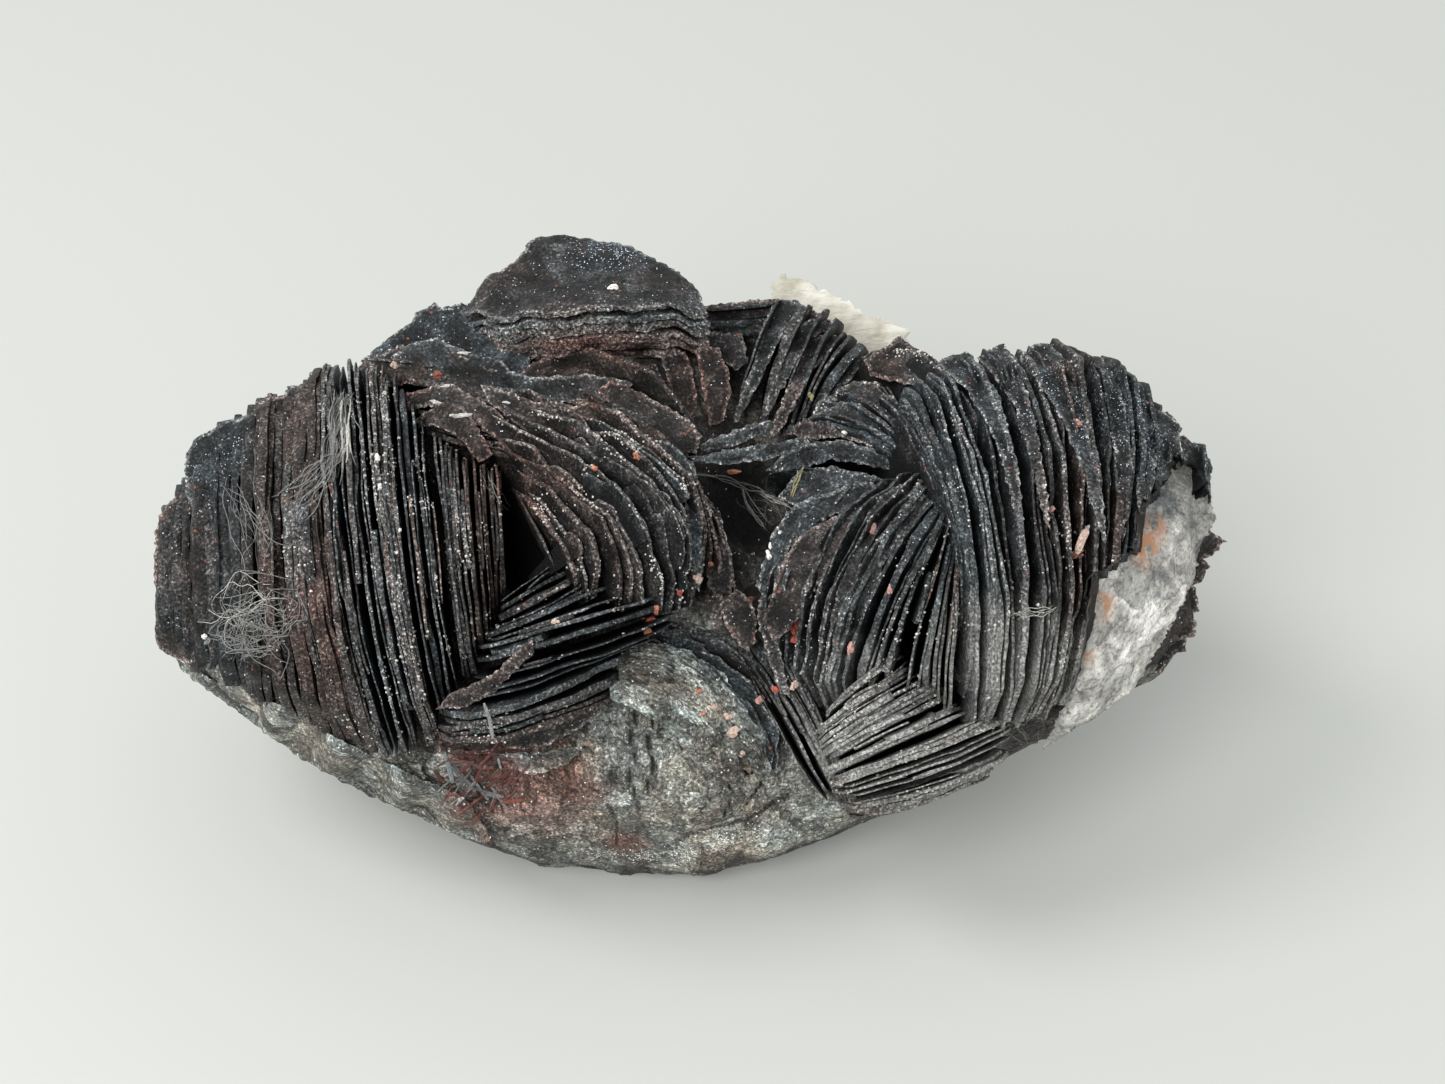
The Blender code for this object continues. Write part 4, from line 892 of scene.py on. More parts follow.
def linked(piece):
    bpy.context.scene.collection.objects.link(piece)
    return piece


def plates_tree():
    """Grows one crystal plate on each point of a guide, from the point's own numbers."""
    tree, g, given, result = new_tree("crystal plates", "GeometryNodeTree", (
        ("Guide", "Geometry", None),
        ("Along", "Int", 60),
        ("Inward", "Int", 5),
        ("Through", "Int", 3),
        ("Root Share", "Float", ROOT_SHARE),
        ("Edge Waves", "Float", 0.00025),
        ("Edge Breaks", "Float", 0.00022),
        ("Chips", "Float", 0.006),
        ("Warp", "Float", 0.0003),
        ("Material", "Material", None),
    ), (("Plates", "Geometry"),))

    # One slab, marked with its own coordinates from 0 to 1, stands on every point of the guide
    slab = g.node("GeometryNodeMeshCube", {
        "Size": (1.0, 1.0, 1.0), "Vertices X": given["Along"],
        "Vertices Y": given["Inward"], "Vertices Z": given["Through"]}).outputs["Mesh"]
    own_place = g.vector("ADD", g.node("GeometryNodeInputPosition").outputs[0], (0.5, 0.5, 0.5))
    marked = g.stored(slab, "place", own_place, "FLOAT_VECTOR")
    standing = g.node("GeometryNodeInstanceOnPoints", {
        "Points": given["Guide"], "Instance": marked}).outputs["Instances"]
    plates = g.realized(standing)
    place = g.node("ShaderNodeSeparateXYZ", {0: g.named("place", "FLOAT_VECTOR")}).outputs
    start, peak, end = (g.named(name, "FLOAT_VECTOR") for name in ("start", "peak", "end"))

    # The plate's own directions
    middle = g.scaled(g.vector("ADD", start, end), 0.5)
    chord = g.vector("SUBTRACT", end, start)
    half = g.times(g.vector("LENGTH", chord), 0.5)
    along = g.vector("NORMALIZE", chord)
    reach = g.vector("SUBTRACT", peak, middle)
    shift = g.vector("DOT_PRODUCT", reach, along)
    rise_line = g.vector("SUBTRACT", reach, g.scaled(along, shift))
    height = g.vector("LENGTH", rise_line)
    outward = g.vector("NORMALIZE", rise_line)
    facing = g.vector("CROSS_PRODUCT", along, outward)

    # The free edge: corners from two habits, mixed plate by plate
    step = g.times(g.math("COSINE", g.times(place["X"], math.pi)), -1.0)
    furthest = g.math("DIVIDE", shift, half)
    furthest = g.math("MAXIMUM", g.math("MINIMUM", furthest, 0.6), -0.6)
    before = g.math("DIVIDE", g.plus(step, 1.0), g.plus(furthest, 1.0))
    after = g.math("DIVIDE", g.minus(step, furthest), g.minus(1.0, furthest))
    both = g.plus(g.math("MINIMUM", before, 1.0), g.math("MAXIMUM", after, 0.0))
    edge_place = g.times(both, 0.5)
    habit = g.named("habit")
    room = g.times(edge_place, g.minus(1.0, edge_place))
    edge_place = g.plus(edge_place, g.times(room, g.minus(habit, 0.5)))
    keen = g.math("GREATER_THAN", habit, 0.55)
    swell = g.between(g.curve(edge_place, BLUNT_EDGE), g.curve(edge_place, KEEN_EDGE), keen)
    chord_point = g.vector("ADD", middle, g.scaled(along, g.times(half, step)))
    clean_edge = g.vector("ADD", chord_point, g.scaled(outward, g.times(height, swell)))

    # Waves that neighbours share, breaks and chips that are each plate's own
    chance = g.named("chance")
    own = g.vector("ADD", clean_edge, g.scaled((0.37, 0.91, 0.53), chance))
    shared = g.swing(clean_edge, 300.0)
    waves = g.times(g.plus(shared, g.swing(own, 170.0)), given["Edge Waves"])
    breaks = g.times(g.swing(own, 750.0, 4.0, 0.65), given["Edge Breaks"])
    bite = g.math("MAXIMUM", g.minus(g.noise(own, 260.0, 1.0), 0.6), 0.0)
    chips = g.times(bite, given["Chips"])
    ragged = g.minus(g.plus(waves, breaks), chips)
    edge = g.vector("ADD", clean_edge, g.scaled(outward, ragged))

    # From the root line to the free edge, closer set near the edge
    root_step = g.times(g.times(half, step), given["Root Share"])
    root_line = g.vector("ADD", middle, g.scaled(along, root_step))
    root_line = g.vector("SUBTRACT", root_line, g.scaled(outward, g.named("root")))
    inward = g.math("POWER", g.minus(1.0, place["Y"]), 2.0)
    edgeward = g.minus(1.0, inward)
    sheet_point = g.vector("ADD", root_line, g.scaled(g.vector("SUBTRACT", edge, root_line), edgeward))

    # Thickness, rounded off at the free edge, and a gentle warp
    thickness = g.named("thickness")
    at_edge = g.math("GREATER_THAN", place["Y"], 0.99)
    crest = g.minus(1.0, g.math("ABSOLUTE", g.minus(g.times(place["Z"], 2.0), 1.0)))
    bulge = g.times(g.times(at_edge, crest), g.times(thickness, 0.15))
    sheet_point = g.vector("ADD", sheet_point, g.scaled(outward, bulge))
    thinning = g.minus(1.0, g.times(at_edge, 0.25))
    uneven = g.plus(1.0, g.times(g.swing(own, 190.0, 1.0), 0.5))
    side = g.times(g.minus(place["Z"], 0.5), g.times(thickness, uneven))
    leaning = g.times(g.named("lean"), g.math("POWER", g.minus(1.0, edgeward), 1.5))
    own_sheet = g.vector("ADD", sheet_point, g.scaled((0.53, 0.37, 0.91), chance))
    shared_warp = g.swing(sheet_point, 85.0, 1.0)
    own_warp = g.times(g.swing(own_sheet, 120.0, 2.0), 0.75)
    warp = g.times(g.plus(shared_warp, own_warp), given["Warp"])
    offset = g.plus(g.plus(g.times(side, thinning), warp), leaning)
    final = g.vector("ADD", sheet_point, g.scaled(facing, offset))

    shaped = g.node("GeometryNodeSetPosition", {
        "Geometry": plates, "Position": final}).outputs["Geometry"]
    realized = g.realized(g.stored(shaped, "edgeward", edgeward))
    g.feed(result["Plates"], g.coated(realized, given["Material"]))
    return tree


def relief_tree():
    """Gives a surface the broken, layered relief of a mineral: lumps, flaky steps and grain."""
    tree, g, given, result = new_tree("layered relief", "GeometryNodeTree", (
        ("Surface", "Geometry", None),
        ("Turn", "Float", 0.0),
        ("Stretch", "Vector", (1.0, 1.0, 1.0)),
        ("Lumps", "Float", 0.0006),
        ("Lump Scale", "Float", 90.0),
        ("Step Height", "Float", 0.0009),
        ("Step Scale", "Float", 110.0),
        ("Steps", "Float", 9.0),
        ("Inset Share", "Float", 0.07),
        ("Grain", "Float", 0.00012),
        ("Grain Scale", "Float", 900.0),
        ("Material", "Material", None),
    ), (("Surface", "Geometry"),))
    position = g.node("GeometryNodeInputPosition").outputs[0]
    normal = g.node("GeometryNodeInputNormal").outputs[0]
    stretched = g.drawn_out(position, given["Turn"], given["Stretch"])
    lumps = g.times(g.swing(position, given["Lump Scale"]), given["Lumps"])
    rising = g.times(g.named("inset"), given["Inset Share"])
    level = g.times(g.plus(g.noise(stretched, given["Step Scale"], 3.0, 0.55), rising), given["Steps"])
    tread = g.math("FLOOR", level)
    riser = g.math("SMOOTH_MIN", g.times(g.math("FRACT", level), 4.0), 1.0, 0.3)
    share = g.math("DIVIDE", g.plus(tread, riser), given["Steps"])
    steps = g.times(g.minus(share, 0.55), given["Step Height"])
    grain = g.times(g.swing(stretched, given["Grain Scale"], 3.0, 0.7), given["Grain"])
    total = g.plus(g.plus(lumps, steps), grain)
    moved = g.node("GeometryNodeSetPosition", {
        "Geometry": given["Surface"], "Offset": g.scaled(normal, total)}).outputs["Geometry"]
    realized = g.realized(g.stored(moved, "tread", g.math("FRACT", level)))
    g.feed(result["Surface"], g.coated(realized, given["Material"]))
    return tree


def beads_tree():
    """Strews small pale beads over the dusty stretches of free edges."""
    tree, g, given, result = new_tree("edge beads", "GeometryNodeTree", (
        ("Surface", "Geometry", None),
        ("Per Square Metre", "Float", 2.2e6),
        ("Radius", "Float", 0.00011),
        ("Seed", "Int", 3),
        ("Tint", "Color", (0.5, 0.475, 0.43, 1.0)),
        ("Material", "Material", None),
    ), (("Beads", "Geometry"),))
    position = g.node("GeometryNodeInputPosition").outputs[0]
    edge, wear_and_highlight = g.named("edgeward"), g.named("wear_and_highlight")
    dusty = g.math("MAXIMUM", g.minus(g.noise(position, 210.0, 3.0, 0.6), 0.5), 0.0)
    share = g.times(g.times(dusty, 8.0), g.times(wear_and_highlight, wear_and_highlight))
    density = g.times(given["Per Square Metre"], share)
    strewn = g.node("GeometryNodeDistributePointsOnFaces", {
        "Mesh": given["Surface"], "Selection": g.math("GREATER_THAN", edge, 0.99),
        "Density": density, "Seed": given["Seed"]}).outputs["Points"]
    size = g.node("FunctionNodeRandomValue", {"Min": 0.45, "Max": 1.7}, data_type="FLOAT")
    squashed = g.node("ShaderNodeCombineXYZ", {
        0: g.enabled(size.outputs, "Value"), 1: 0.8, 2: g.enabled(size.outputs, "Value")}).outputs[0]
    bead = g.node("GeometryNodeMeshIcoSphere", {
        "Radius": given["Radius"], "Subdivisions": 1}).outputs["Mesh"]
    standing = g.node("GeometryNodeInstanceOnPoints", {
        "Points": strewn, "Instance": bead, "Scale": squashed}).outputs["Instances"]
    tinted = g.stored(g.realized(standing), "tint", given["Tint"], "FLOAT_COLOR")
    g.feed(result["Beads"], g.coated(tinted, given["Material"]))
    return tree


# Finishes

def shader_group(name, inputs, outputs):
    return new_tree(name, "ShaderNodeTree", inputs, outputs)


def speckle_group():
    """Scattered specks and glints: a mask that is 1 in some small cells, and a tilt for facets."""
    tree, g, given, result = shader_group("specks", (
        ("Vector", "Vector", None),
        ("Scale", "Float", 3000.0),
        ("Share", "Float", 0.1),
        ("Patches", "Float", 200.0),
    ), (("Mask", "Float"), ("Tilt", "Vector")))
    cells = g.node("ShaderNodeTexVoronoi", {"Vector": given["Vector"], "Scale": given["Scale"]})
    parts = g.node("ShaderNodeSeparateColor", {0: cells.outputs["Color"]}).outputs
    patchy = g.times(g.noise(given["Vector"], given["Patches"], 3.0), 2.0)
    share = g.times(given["Share"], g.math("POWER", patchy, 3.0))
    chosen = g.math("LESS_THAN", parts[0], share)
    near = g.math("LESS_THAN", cells.outputs["Distance"], 0.42)
    g.feed(result["Mask"], g.times(chosen, near))
    g.feed(result["Tilt"], g.vector("SUBTRACT", cells.outputs["Color"], (0.5, 0.5, 0.5)))
    return tree


def grain_group():
    """Fine mineral grain: a height for bump and a cloudy value for colour."""
    tree, g, given, result = shader_group("grain", (
        ("Vector", "Vector", None),
        ("Scale", "Float", 1500.0),
        ("Turn", "Float", 0.0),
        ("Stretch", "Vector", (1.0, 1.0, 1.0)),
    ), (("Height", "Float"), ("Cloud", "Float"), ("Crease", "Float")))
    drawn = g.drawn_out(given["Vector"], given["Turn"], given["Stretch"])
    fine = g.noise(drawn, given["Scale"], 5.0, 0.68)
    cloud = g.noise(given["Vector"], g.times(given["Scale"], 0.11), 4.0, 0.6)
    middle = g.noise(drawn, g.times(given["Scale"], 0.3), 4.0, 0.6)
    folded = g.math("ABSOLUTE", g.minus(middle, 0.5))
    g.feed(result["Height"], fine)
    g.feed(result["Cloud"], cloud)
    g.feed(result["Crease"], stepped(g, folded, 0.0, 0.045))
    return tree


def flaky_group():
    """Broken, flaky ground: a tone for each flake, and a mask that is dark along the flakes' borders."""
    tree, g, given, result = shader_group("flaky", (
        ("Vector", "Vector", None),
        ("Scale", "Float", 400.0),
        ("Turn", "Float", 0.0),
        ("Stretch", "Vector", (1.0, 1.0, 1.0)),
    ), (("Tone", "Float"), ("Border", "Float")))
    drawn = g.drawn_out(given["Vector"], given["Turn"], given["Stretch"])
    shift = g.node("ShaderNodeTexNoise", {
        "Vector": drawn, "Scale": g.times(given["Scale"], 1.6), "Detail": 4.0}).outputs["Color"]
    reach = g.math("DIVIDE", 1.1, given["Scale"])
    place = g.vector("ADD", drawn, g.scaled(g.vector("SUBTRACT", shift, (0.5, 0.5, 0.5)), reach))
    cells = g.node("ShaderNodeTexVoronoi", {"Vector": place, "Scale": given["Scale"]})
    borders = g.node("ShaderNodeTexVoronoi", {"Vector": place, "Scale": given["Scale"]},
                     feature="DISTANCE_TO_EDGE")
    g.feed(result["Tone"], g.node("ShaderNodeSeparateColor", {0: cells.outputs["Color"]}).outputs[0])
    g.feed(result["Border"], stepped(g, borders.outputs["Distance"], 0.0, 0.07))
    return tree


def stain_group():
    """A stain round a centre, with a ragged border."""
    tree, g, given, result = shader_group("stain", (
        ("Vector", "Vector", None),
        ("Centre", "Vector", None),
        ("Radius", "Float", 0.006),
    ), (("Mask", "Float"),))
    away = g.math("DIVIDE", g.vector("DISTANCE", given["Vector"], given["Centre"]), given["Radius"])
    ragged = g.plus(away, g.times(g.swing(given["Vector"], 260.0, 5.0, 0.65), 0.55))
    g.feed(result["Mask"], stepped(g, ragged, 1.15, 0.35))
    return tree


GROUPS = {}
VALUE_KEYS = {"FLOAT": "value", "FLOAT_VECTOR": "vector", "FLOAT_COLOR": "color"}


def placed_group(graph, name, **values):
    made = graph.node("ShaderNodeGroup")
    made.node_tree = GROUPS[name]
    for label, value in values.items():
        graph.feed(made.inputs[label], value)
    return made.outputs


def new_material(name, roughness, metallic, shine=0.5):
    material = bpy.data.materials.new(name)
    material.use_nodes = True
    shader = material.node_tree.nodes["Principled BSDF"]
    shader.inputs["Roughness"].default_value = roughness
    shader.inputs["Metallic"].default_value = metallic
    shader.inputs["Specular IOR Level"].default_value = shine
    graph = Graph(material.node_tree)
    where = graph.node("ShaderNodeTexCoord").outputs["Object"]
    return material, graph, shader.inputs, where


def finish_normal(g, shader, height, distance, strength, tilt=None, tilt_amount=None):
    """Bump, with an optional tilt of small facets added to it."""
    bump = g.node("ShaderNodeBump", {
        "Height": height, "Distance": distance, "Strength": strength}).outputs["Normal"]
    if tilt is not None:
        bump = g.vector("NORMALIZE", g.vector("ADD", bump, g.scaled(tilt, tilt_amount)))
    g.feed(shader["Normal"], bump)


def zone(g, where, centre, radius):
    """A soft, ragged patch round a point of the sheet."""
    return placed_group(g, "stain", Vector=where, Centre=tuple(world(centre)), Radius=radius * MM)["Mask"]


def zones(g, where, places):
    """The highest of the patches round some points of the sheet."""
    first, *others = [zone(g, where, *place) for place in places]
    for mask in others:
        first = g.math("MAXIMUM", first, mask)
    return first


def stepped(g, value, low, high, start=0.0, end=1.0):
    """Maps low..high to start..end and holds it there."""
    return g.node("ShaderNodeMapRange", {0: value, 1: low, 2: high, 3: start, 4: end}, clamp=True).outputs[0]


def flaked(g, colour, broad, small, broad_range, small_range):
    """Large and small flakes, each from (darkest, lightest, border)."""
    sets = ((broad, broad_range), (small, small_range))
    tones = [g.between(low, high, flakes["Tone"]) for flakes, (low, high, _) in sets]
    borders = [g.between(border, 1.0, flakes["Border"]) for flakes, (*_, border) in sets]
    return g.scaled(colour, g.times(g.times(*tones), g.times(*borders)))


def plate_material():
    material, g, shader, where = new_material("plate hematite", 0.45, 0.3, 0.22)
    edge = g.painted("edgeward")
    tone = g.painted("tone")
    wear_and_highlight = g.painted("wear_and_highlight")
    grain = placed_group(g, "grain", Vector=where, Scale=3300.0)
    blues = zones(g, where, BLUE_ZONES)
    browns = zones(g, where, BROWN_ZONES)
    steely = g.plus(g.between(-0.05, 1.15, tone), g.times(blues, 0.4))
    steely = stepped(g, g.minus(steely, g.times(browns, 0.45)), 0.0, 1.0)

    # The faces: brown or steel blue, mottled
    brown = g.ramp(grain["Cloud"], (
        (0.3, (0.006, 0.0048, 0.0044)), (0.45, (0.0165, 0.0125, 0.011)),
        (0.56, (0.042, 0.031, 0.027)), (0.7, (0.1, 0.07, 0.059))))
    steel = g.ramp(grain["Cloud"], (
        (0.3, (0.006, 0.0065, 0.007)), (0.48, (0.019, 0.022, 0.024)), (0.6, (0.047, 0.057, 0.064)),
        (0.74, (0.105, 0.13, 0.147))))
    mottle = g.ramp(grain["Height"], (
        (0.36, (0.18, 0.18, 0.18)), (0.5, (0.62, 0.62, 0.62)), (0.61, (1.6, 1.6, 1.56)),
        (0.72, (8.0, 7.8, 7.6))))
    face = g.mixed(g.mixed(brown, steel, steely), mottle, 1.0, "MULTIPLY")

    # The free edges: worn pale, and dusty in patches, the paleness partly a painted highlight along the rims
    dust = stepped(g, g.noise(where, 330.0, 4.0, 0.7), 0.36, 0.64)
    worn_and_highlit = g.times(g.times(stepped(g, edge, 0.98, 0.999), wear_and_highlight), g.between(0.12, 1.0, dust))
    warm_edge = g.ramp(grain["Height"], (
        (0.36, (0.022, 0.018, 0.016)), (0.48, (0.085, 0.071, 0.065)), (0.58, (0.29, 0.255, 0.232)),
        (0.67, (0.95, 0.9, 0.85))))
    cool_edge = g.ramp(grain["Height"], (
        (0.36, (0.017, 0.019, 0.02)), (0.48, (0.07, 0.075, 0.076)), (0.58, (0.25, 0.26, 0.26)),
        (0.67, (0.92, 0.95, 0.94))))
    edge_colour = g.mixed(warm_edge, cool_edge, steely)
    ruddy = g.times(stepped(g, tone, 0.42, 0.3), g.between(0.35, 1.0, browns))
    edge_colour = g.mixed(edge_colour, (0.92, 0.62, 0.58, 1.0), ruddy, "MULTIPLY")
    colour = g.mixed(face, edge_colour, worn_and_highlit)
    # Painted shade: towards its root each plate turns near black, deep in the gaps between plates
    colour = g.mixed(colour, (0.002, 0.002, 0.002, 1.0), stepped(g, edge, 0.8, 0.972, 0.94, 0.0))

    pale = zones(g, where, PALE_ZONES)
    grey = g.ramp(grain["Height"], (
        (0.34, (0.06, 0.062, 0.06)), (0.5, (0.21, 0.21, 0.2)), (0.66, (0.6, 0.59, 0.56))))
    colour = g.mixed(colour, grey, g.times(pale, stepped(g, edge, 0.82, 0.97, 0.0, 0.9)))
    lit = stepped(g, edge, 0.86, 0.96)
    rust = placed_group(g, "specks", Vector=where, Scale=2600.0, Share=0.004, Patches=90.0)
    colour = g.mixed(colour, (0.22, 0.06, 0.035, 1.0), g.times(rust["Mask"], lit))
    glints = placed_group(g, "specks", Vector=where, Scale=6500.0, Patches=60.0,
                          Share=g.between(0.012, 0.085, blues))
    colour = g.mixed(colour, (0.5, 0.58, 0.66, 1.0), g.times(glints["Mask"], lit))
    g.feed(shader["Base Color"], colour)
    roughness = g.between(0.36, 0.62, grain["Height"])
    g.feed(shader["Roughness"], g.minus(roughness, g.times(glints["Mask"], 0.25)))
    finish_normal(g, shader, grain["Height"], 0.00022, 0.9, glints["Tilt"], g.times(glints["Mask"], 0.9))
    return material


def weathered_material(name, turn, stretch, brightness=1.0, lines=0.0):
    """Grey, weathered hematite. Its flakes are drawn out one way, and lines follow a slab's outline."""
    material, g, shader, where = new_material(name, 0.55, 0.1, 0.3)
    way = {"Turn": math.radians(turn), "Stretch": stretch}
    grain = placed_group(g, "grain", Vector=where, Scale=3100.0)
    broad = placed_group(g, "flaky", Vector=where, Scale=260.0, **way)
    small = placed_group(g, "flaky", Vector=where, Scale=900.0, **way)
    blotch = g.noise(where, 210.0, 5.0, 0.66)
    tread = g.painted("tread")
    edge = g.painted("edgeward")
    inset = g.painted("inset")
    dark = g.ramp(grain["Height"], (
        (0.34, (0.012, 0.01, 0.01)), (0.5, (0.045, 0.038, 0.035)), (0.66, (0.13, 0.11, 0.1))))
    grey = g.ramp(grain["Height"], (
        (0.34, (0.085, 0.083, 0.076)), (0.45, (0.19, 0.185, 0.168)), (0.55, (0.33, 0.322, 0.292)),
        (0.62, (0.62, 0.6, 0.56)), (0.7, (1.0, 0.98, 0.94))))
    grey = g.scaled(grey, brightness)
    hue = g.ramp(g.noise(where, 120.0, 4.0, 0.62), (
        (0.34, (0.86, 0.94, 0.99)), (0.46, (0.95, 1.0, 0.98)), (0.54, (1.0, 0.965, 0.9)),
        (0.66, (0.86, 0.75, 0.66))))
    grey = g.mixed(grey, hue, 1.0, "MULTIPLY")
    grey = flaked(g, grey, broad, small, (0.5, 1.45, 0.42), (0.62, 1.35, 0.62))
    strand = g.node("ShaderNodeTexNoise", {
        "W": g.plus(inset, g.times(g.swing(where, 260.0, 3.0), 0.22)),
        "Scale": 3.4, "Detail": 4.0, "Roughness": 0.75}, noise_dimensions="1D").outputs["Fac"]
    grey = g.scaled(grey, g.between(1.0, stepped(g, strand, 0.4, 0.62, 0.25, 1.7), lines))
    rim = g.times(stepped(g, inset, 1.5, 0.3), 0.75 * min(1.0, lines))
    grey = g.mixed(grey, (0.6, 0.71, 0.79, 1.0), rim, "MULTIPLY")
    pale = zones(g, where, BELLY_ZONES)
    lit = g.math("MAXIMUM", g.math("MAXIMUM", pale, stepped(g, edge, 0.91, 0.99, 0.0, 0.6)), lines)
    lit = stepped(g, g.plus(lit, g.times(broad["Tone"], 0.4)), 0.2, 0.7)
    lit = g.times(lit, stepped(g, blotch, 0.36, 0.56, 0.5, 1.0))
    colour = g.mixed(dark, grey, lit)
    for centre, radius, hue, share in STAINS:
        red = g.mixed(colour, hue, 1.0, "MULTIPLY")
        colour = g.mixed(colour, red, g.times(zone(g, where, centre, radius), share))
    # Painted shade at the foot of each step of the relief and along fine creases
    crease_shade = g.math("MINIMUM", stepped(g, tread, 0.0, 0.22, 0.3, 1.0), g.between(0.7, 1.0, grain["Crease"]))
    colour = g.mixed((0.012, 0.01, 0.01, 1.0), colour, crease_shade)
    # Painted shade: the crack grooves are darkened to near black
    crack = g.painted("crack")
    colour = g.mixed(colour, (0.008, 0.007, 0.007, 1.0), stepped(g, crack, 0.35, 0.8, 0.0, 0.9))
    # Painted shade: near black in the hollows and behind the plates
    painted_shade = zones(g, where, PAINTED_SHADE_ZONES)
    colour = g.mixed(colour, (0.004, 0.0035, 0.0035, 1.0), g.times(painted_shade, 0.95))
    sparkling = zones(g, where, SPARKLE_ZONES)
    glints = placed_group(g, "specks", Vector=where, Scale=4500.0, Patches=60.0,
                          Share=g.between(0.012, 0.9, sparkling))
    colour = g.mixed(colour, (0.9, 0.92, 0.92, 1.0), glints["Mask"])
    g.feed(shader["Base Color"], colour)
    height = g.plus(grain["Height"], g.times(strand, lines))
    height = g.plus(height, g.times(g.plus(broad["Tone"], small["Border"]), 0.35))
    finish_normal(g, shader, height, 0.0004, 1.0, glints["Tilt"], g.times(glints["Mask"], 0.8))
    return material


def crust_material():
    material, g, shader, where = new_material("pale crust", 0.5, 0.0, 0.4)
    grain = placed_group(g, "grain", Vector=where, Scale=3000.0, Turn=CRUST_TURN, Stretch=(0.8, 1.0, 1.0))
    tread = g.painted("tread")
    white = g.ramp(grain["Cloud"], (
        (0.34, (0.36, 0.35, 0.33)), (0.46, (0.66, 0.64, 0.6)), (0.6, (0.95, 0.93, 0.88))))
    glassy = g.ramp(grain["Cloud"], (
        (0.34, (0.1, 0.11, 0.115)), (0.5, (0.25, 0.265, 0.27)), (0.66, (0.55, 0.56, 0.55))))
    way = {"Turn": CRUST_TURN, "Stretch": (0.6, 1.0, 1.0)}
    broad = placed_group(g, "flaky", Vector=where, Scale=280.0, **way)
    small = placed_group(g, "flaky", Vector=where, Scale=1000.0, **way)
    greyed = zones(g, where, GLASSY_ZONES)
    broken = g.plus(g.times(broad["Tone"], 0.6), g.times(small["Tone"], 0.2))
    greyed = stepped(g, g.plus(g.times(greyed, 0.55), broken), 0.78, 0.94)
    base = g.mixed(white, glassy, greyed)
    fine = g.ramp(grain["Height"], (
        (0.34, (0.3, 0.29, 0.28)), (0.46, (0.82, 0.81, 0.79)), (0.54, (1.0, 1.0, 1.0))))
    colour = g.mixed(base, fine, 0.85, "MULTIPLY")
    colour = flaked(g, colour, broad, small, (0.56, 1.16, 0.62), (0.72, 1.15, 0.86))
    # Painted shade on the walls of the relief's steps
    crease_shade = stepped(g, tread, 0.0, 0.2, 0.45, 1.0)
    colour = g.mixed((0.07, 0.065, 0.06, 1.0), colour, crease_shade)
    for centre, radius in RUSTY_ZONES:
        rusty = g.times(zone(g, where, centre, radius), stepped(g, small["Tone"], 0.25, 0.75))
        colour = g.mixed(colour, (0.52, 0.26, 0.14, 1.0), rusty)
    g.feed(shader["Base Color"], colour)
    height = g.plus(grain["Height"], g.times(g.plus(broad["Tone"], small["Tone"]), 0.14))
    finish_normal(g, shader, height, 0.0004, 1.0)
    return material


def flake_material():
    material, g, shader, where = new_material("cream flake", 0.45, 0.0)
    grain = placed_group(g, "grain", Vector=where, Scale=900.0, Stretch=(0.4, 1.0, 1.0))
    colour = g.ramp(grain["Cloud"], (
        (0.36, (0.24, 0.225, 0.175)), (0.5, (0.42, 0.4, 0.335)), (0.64, (0.58, 0.56, 0.5))))
    fine = g.ramp(grain["Height"], ((0.28, (0.45, 0.42, 0.38)), (0.55, (1.0, 1.0, 1.0))))
    g.feed(shader["Base Color"], g.mixed(colour, fine, 0.6, "MULTIPLY"))
    finish_normal(g, shader, grain["Height"], 0.0003, 1.0)
    return material


def lodged_material():
    """Grains, dust and threads, each in its own tint."""
    material, g, shader, where = new_material("lodged grains", 0.65, 0.0, 0.3)
    tint = g.node("ShaderNodeAttribute", attribute_name="tint").outputs["Color"]
    grain = placed_group(g, "grain", Vector=where, Scale=4200.0)
    mottle = g.ramp(grain["Height"], (
        (0.34, (0.45, 0.42, 0.4)), (0.52, (1.0, 1.0, 1.0)), (0.68, (1.5, 1.5, 1.5))))
    g.feed(shader["Base Color"], g.mixed(tint, mottle, 1.0, "MULTIPLY"))
    finish_normal(g, shader, grain["Height"], 0.00015, 0.8)
    return material


# Plates

def write_values(mesh, label, values, kind="FLOAT"):
    """Stores a number, place or colour on each point of a mesh."""
    layer = mesh.attributes.new(label, kind, "POINT")
    layer.data.foreach_set(VALUE_KEYS[kind], np.asarray(values, np.float32).ravel())


def between(keys, share):
    place = share * (len(keys) - 1)
    index = min(int(place), len(keys) - 2)
    low, high = (np.array(keys[i], float) for i in (index, index + 1))
    return low + (high - low) * (place - index)


def shares(count, chance):
    """Where a family's plates stand along it, in bundles with wider gaps between them."""
    gaps = []
    for _ in range(count - 1):
        wide = chance.random() < WIDE_GAP_SHARE
        gaps.append(chance.uniform(*(WIDE_GAP_RANGE if wide else GAP_RANGE)))
    reached = np.concatenate([[0.0], np.cumsum(gaps)])
    return reached / reached[-1]


def plate_row(corners, chance, thickness, root, lean, habit, tone, wear_and_highlight):
    """The numbers of one plate, with its own small departures."""
    start, peak, end = corners
    chord = (end - start) / np.linalg.norm(end - start)
    facing = np.cross(chord, peak - start)
    facing /= np.linalg.norm(facing)
    peak = peak + facing * chance.uniform(-TILT_SHIFT, TILT_SHIFT) * MM
    start = start + chord * chance.uniform(-END_SHIFT, END_SHIFT) * MM
    end = end + chord * chance.uniform(-END_SHIFT, END_SHIFT) * MM
    thickness *= chance.choice(THICKNESS_SHARES)
    return (start, peak, end, thickness * MM, root * MM, lean * MM, habit, tone, chance.random(),
            wear_and_highlight * chance.uniform(*WEAR_AND_HIGHLIGHT_SHIFT))


def on_edge(corners, place):
    """A point of a free edge, from 0 at its start to 1 at its end."""
    start, peak, end = corners
    pull = 2 * peak - (start + end) / 2
    return (1 - place) ** 2 * start + 2 * place * (1 - place) * pull + place ** 2 * end


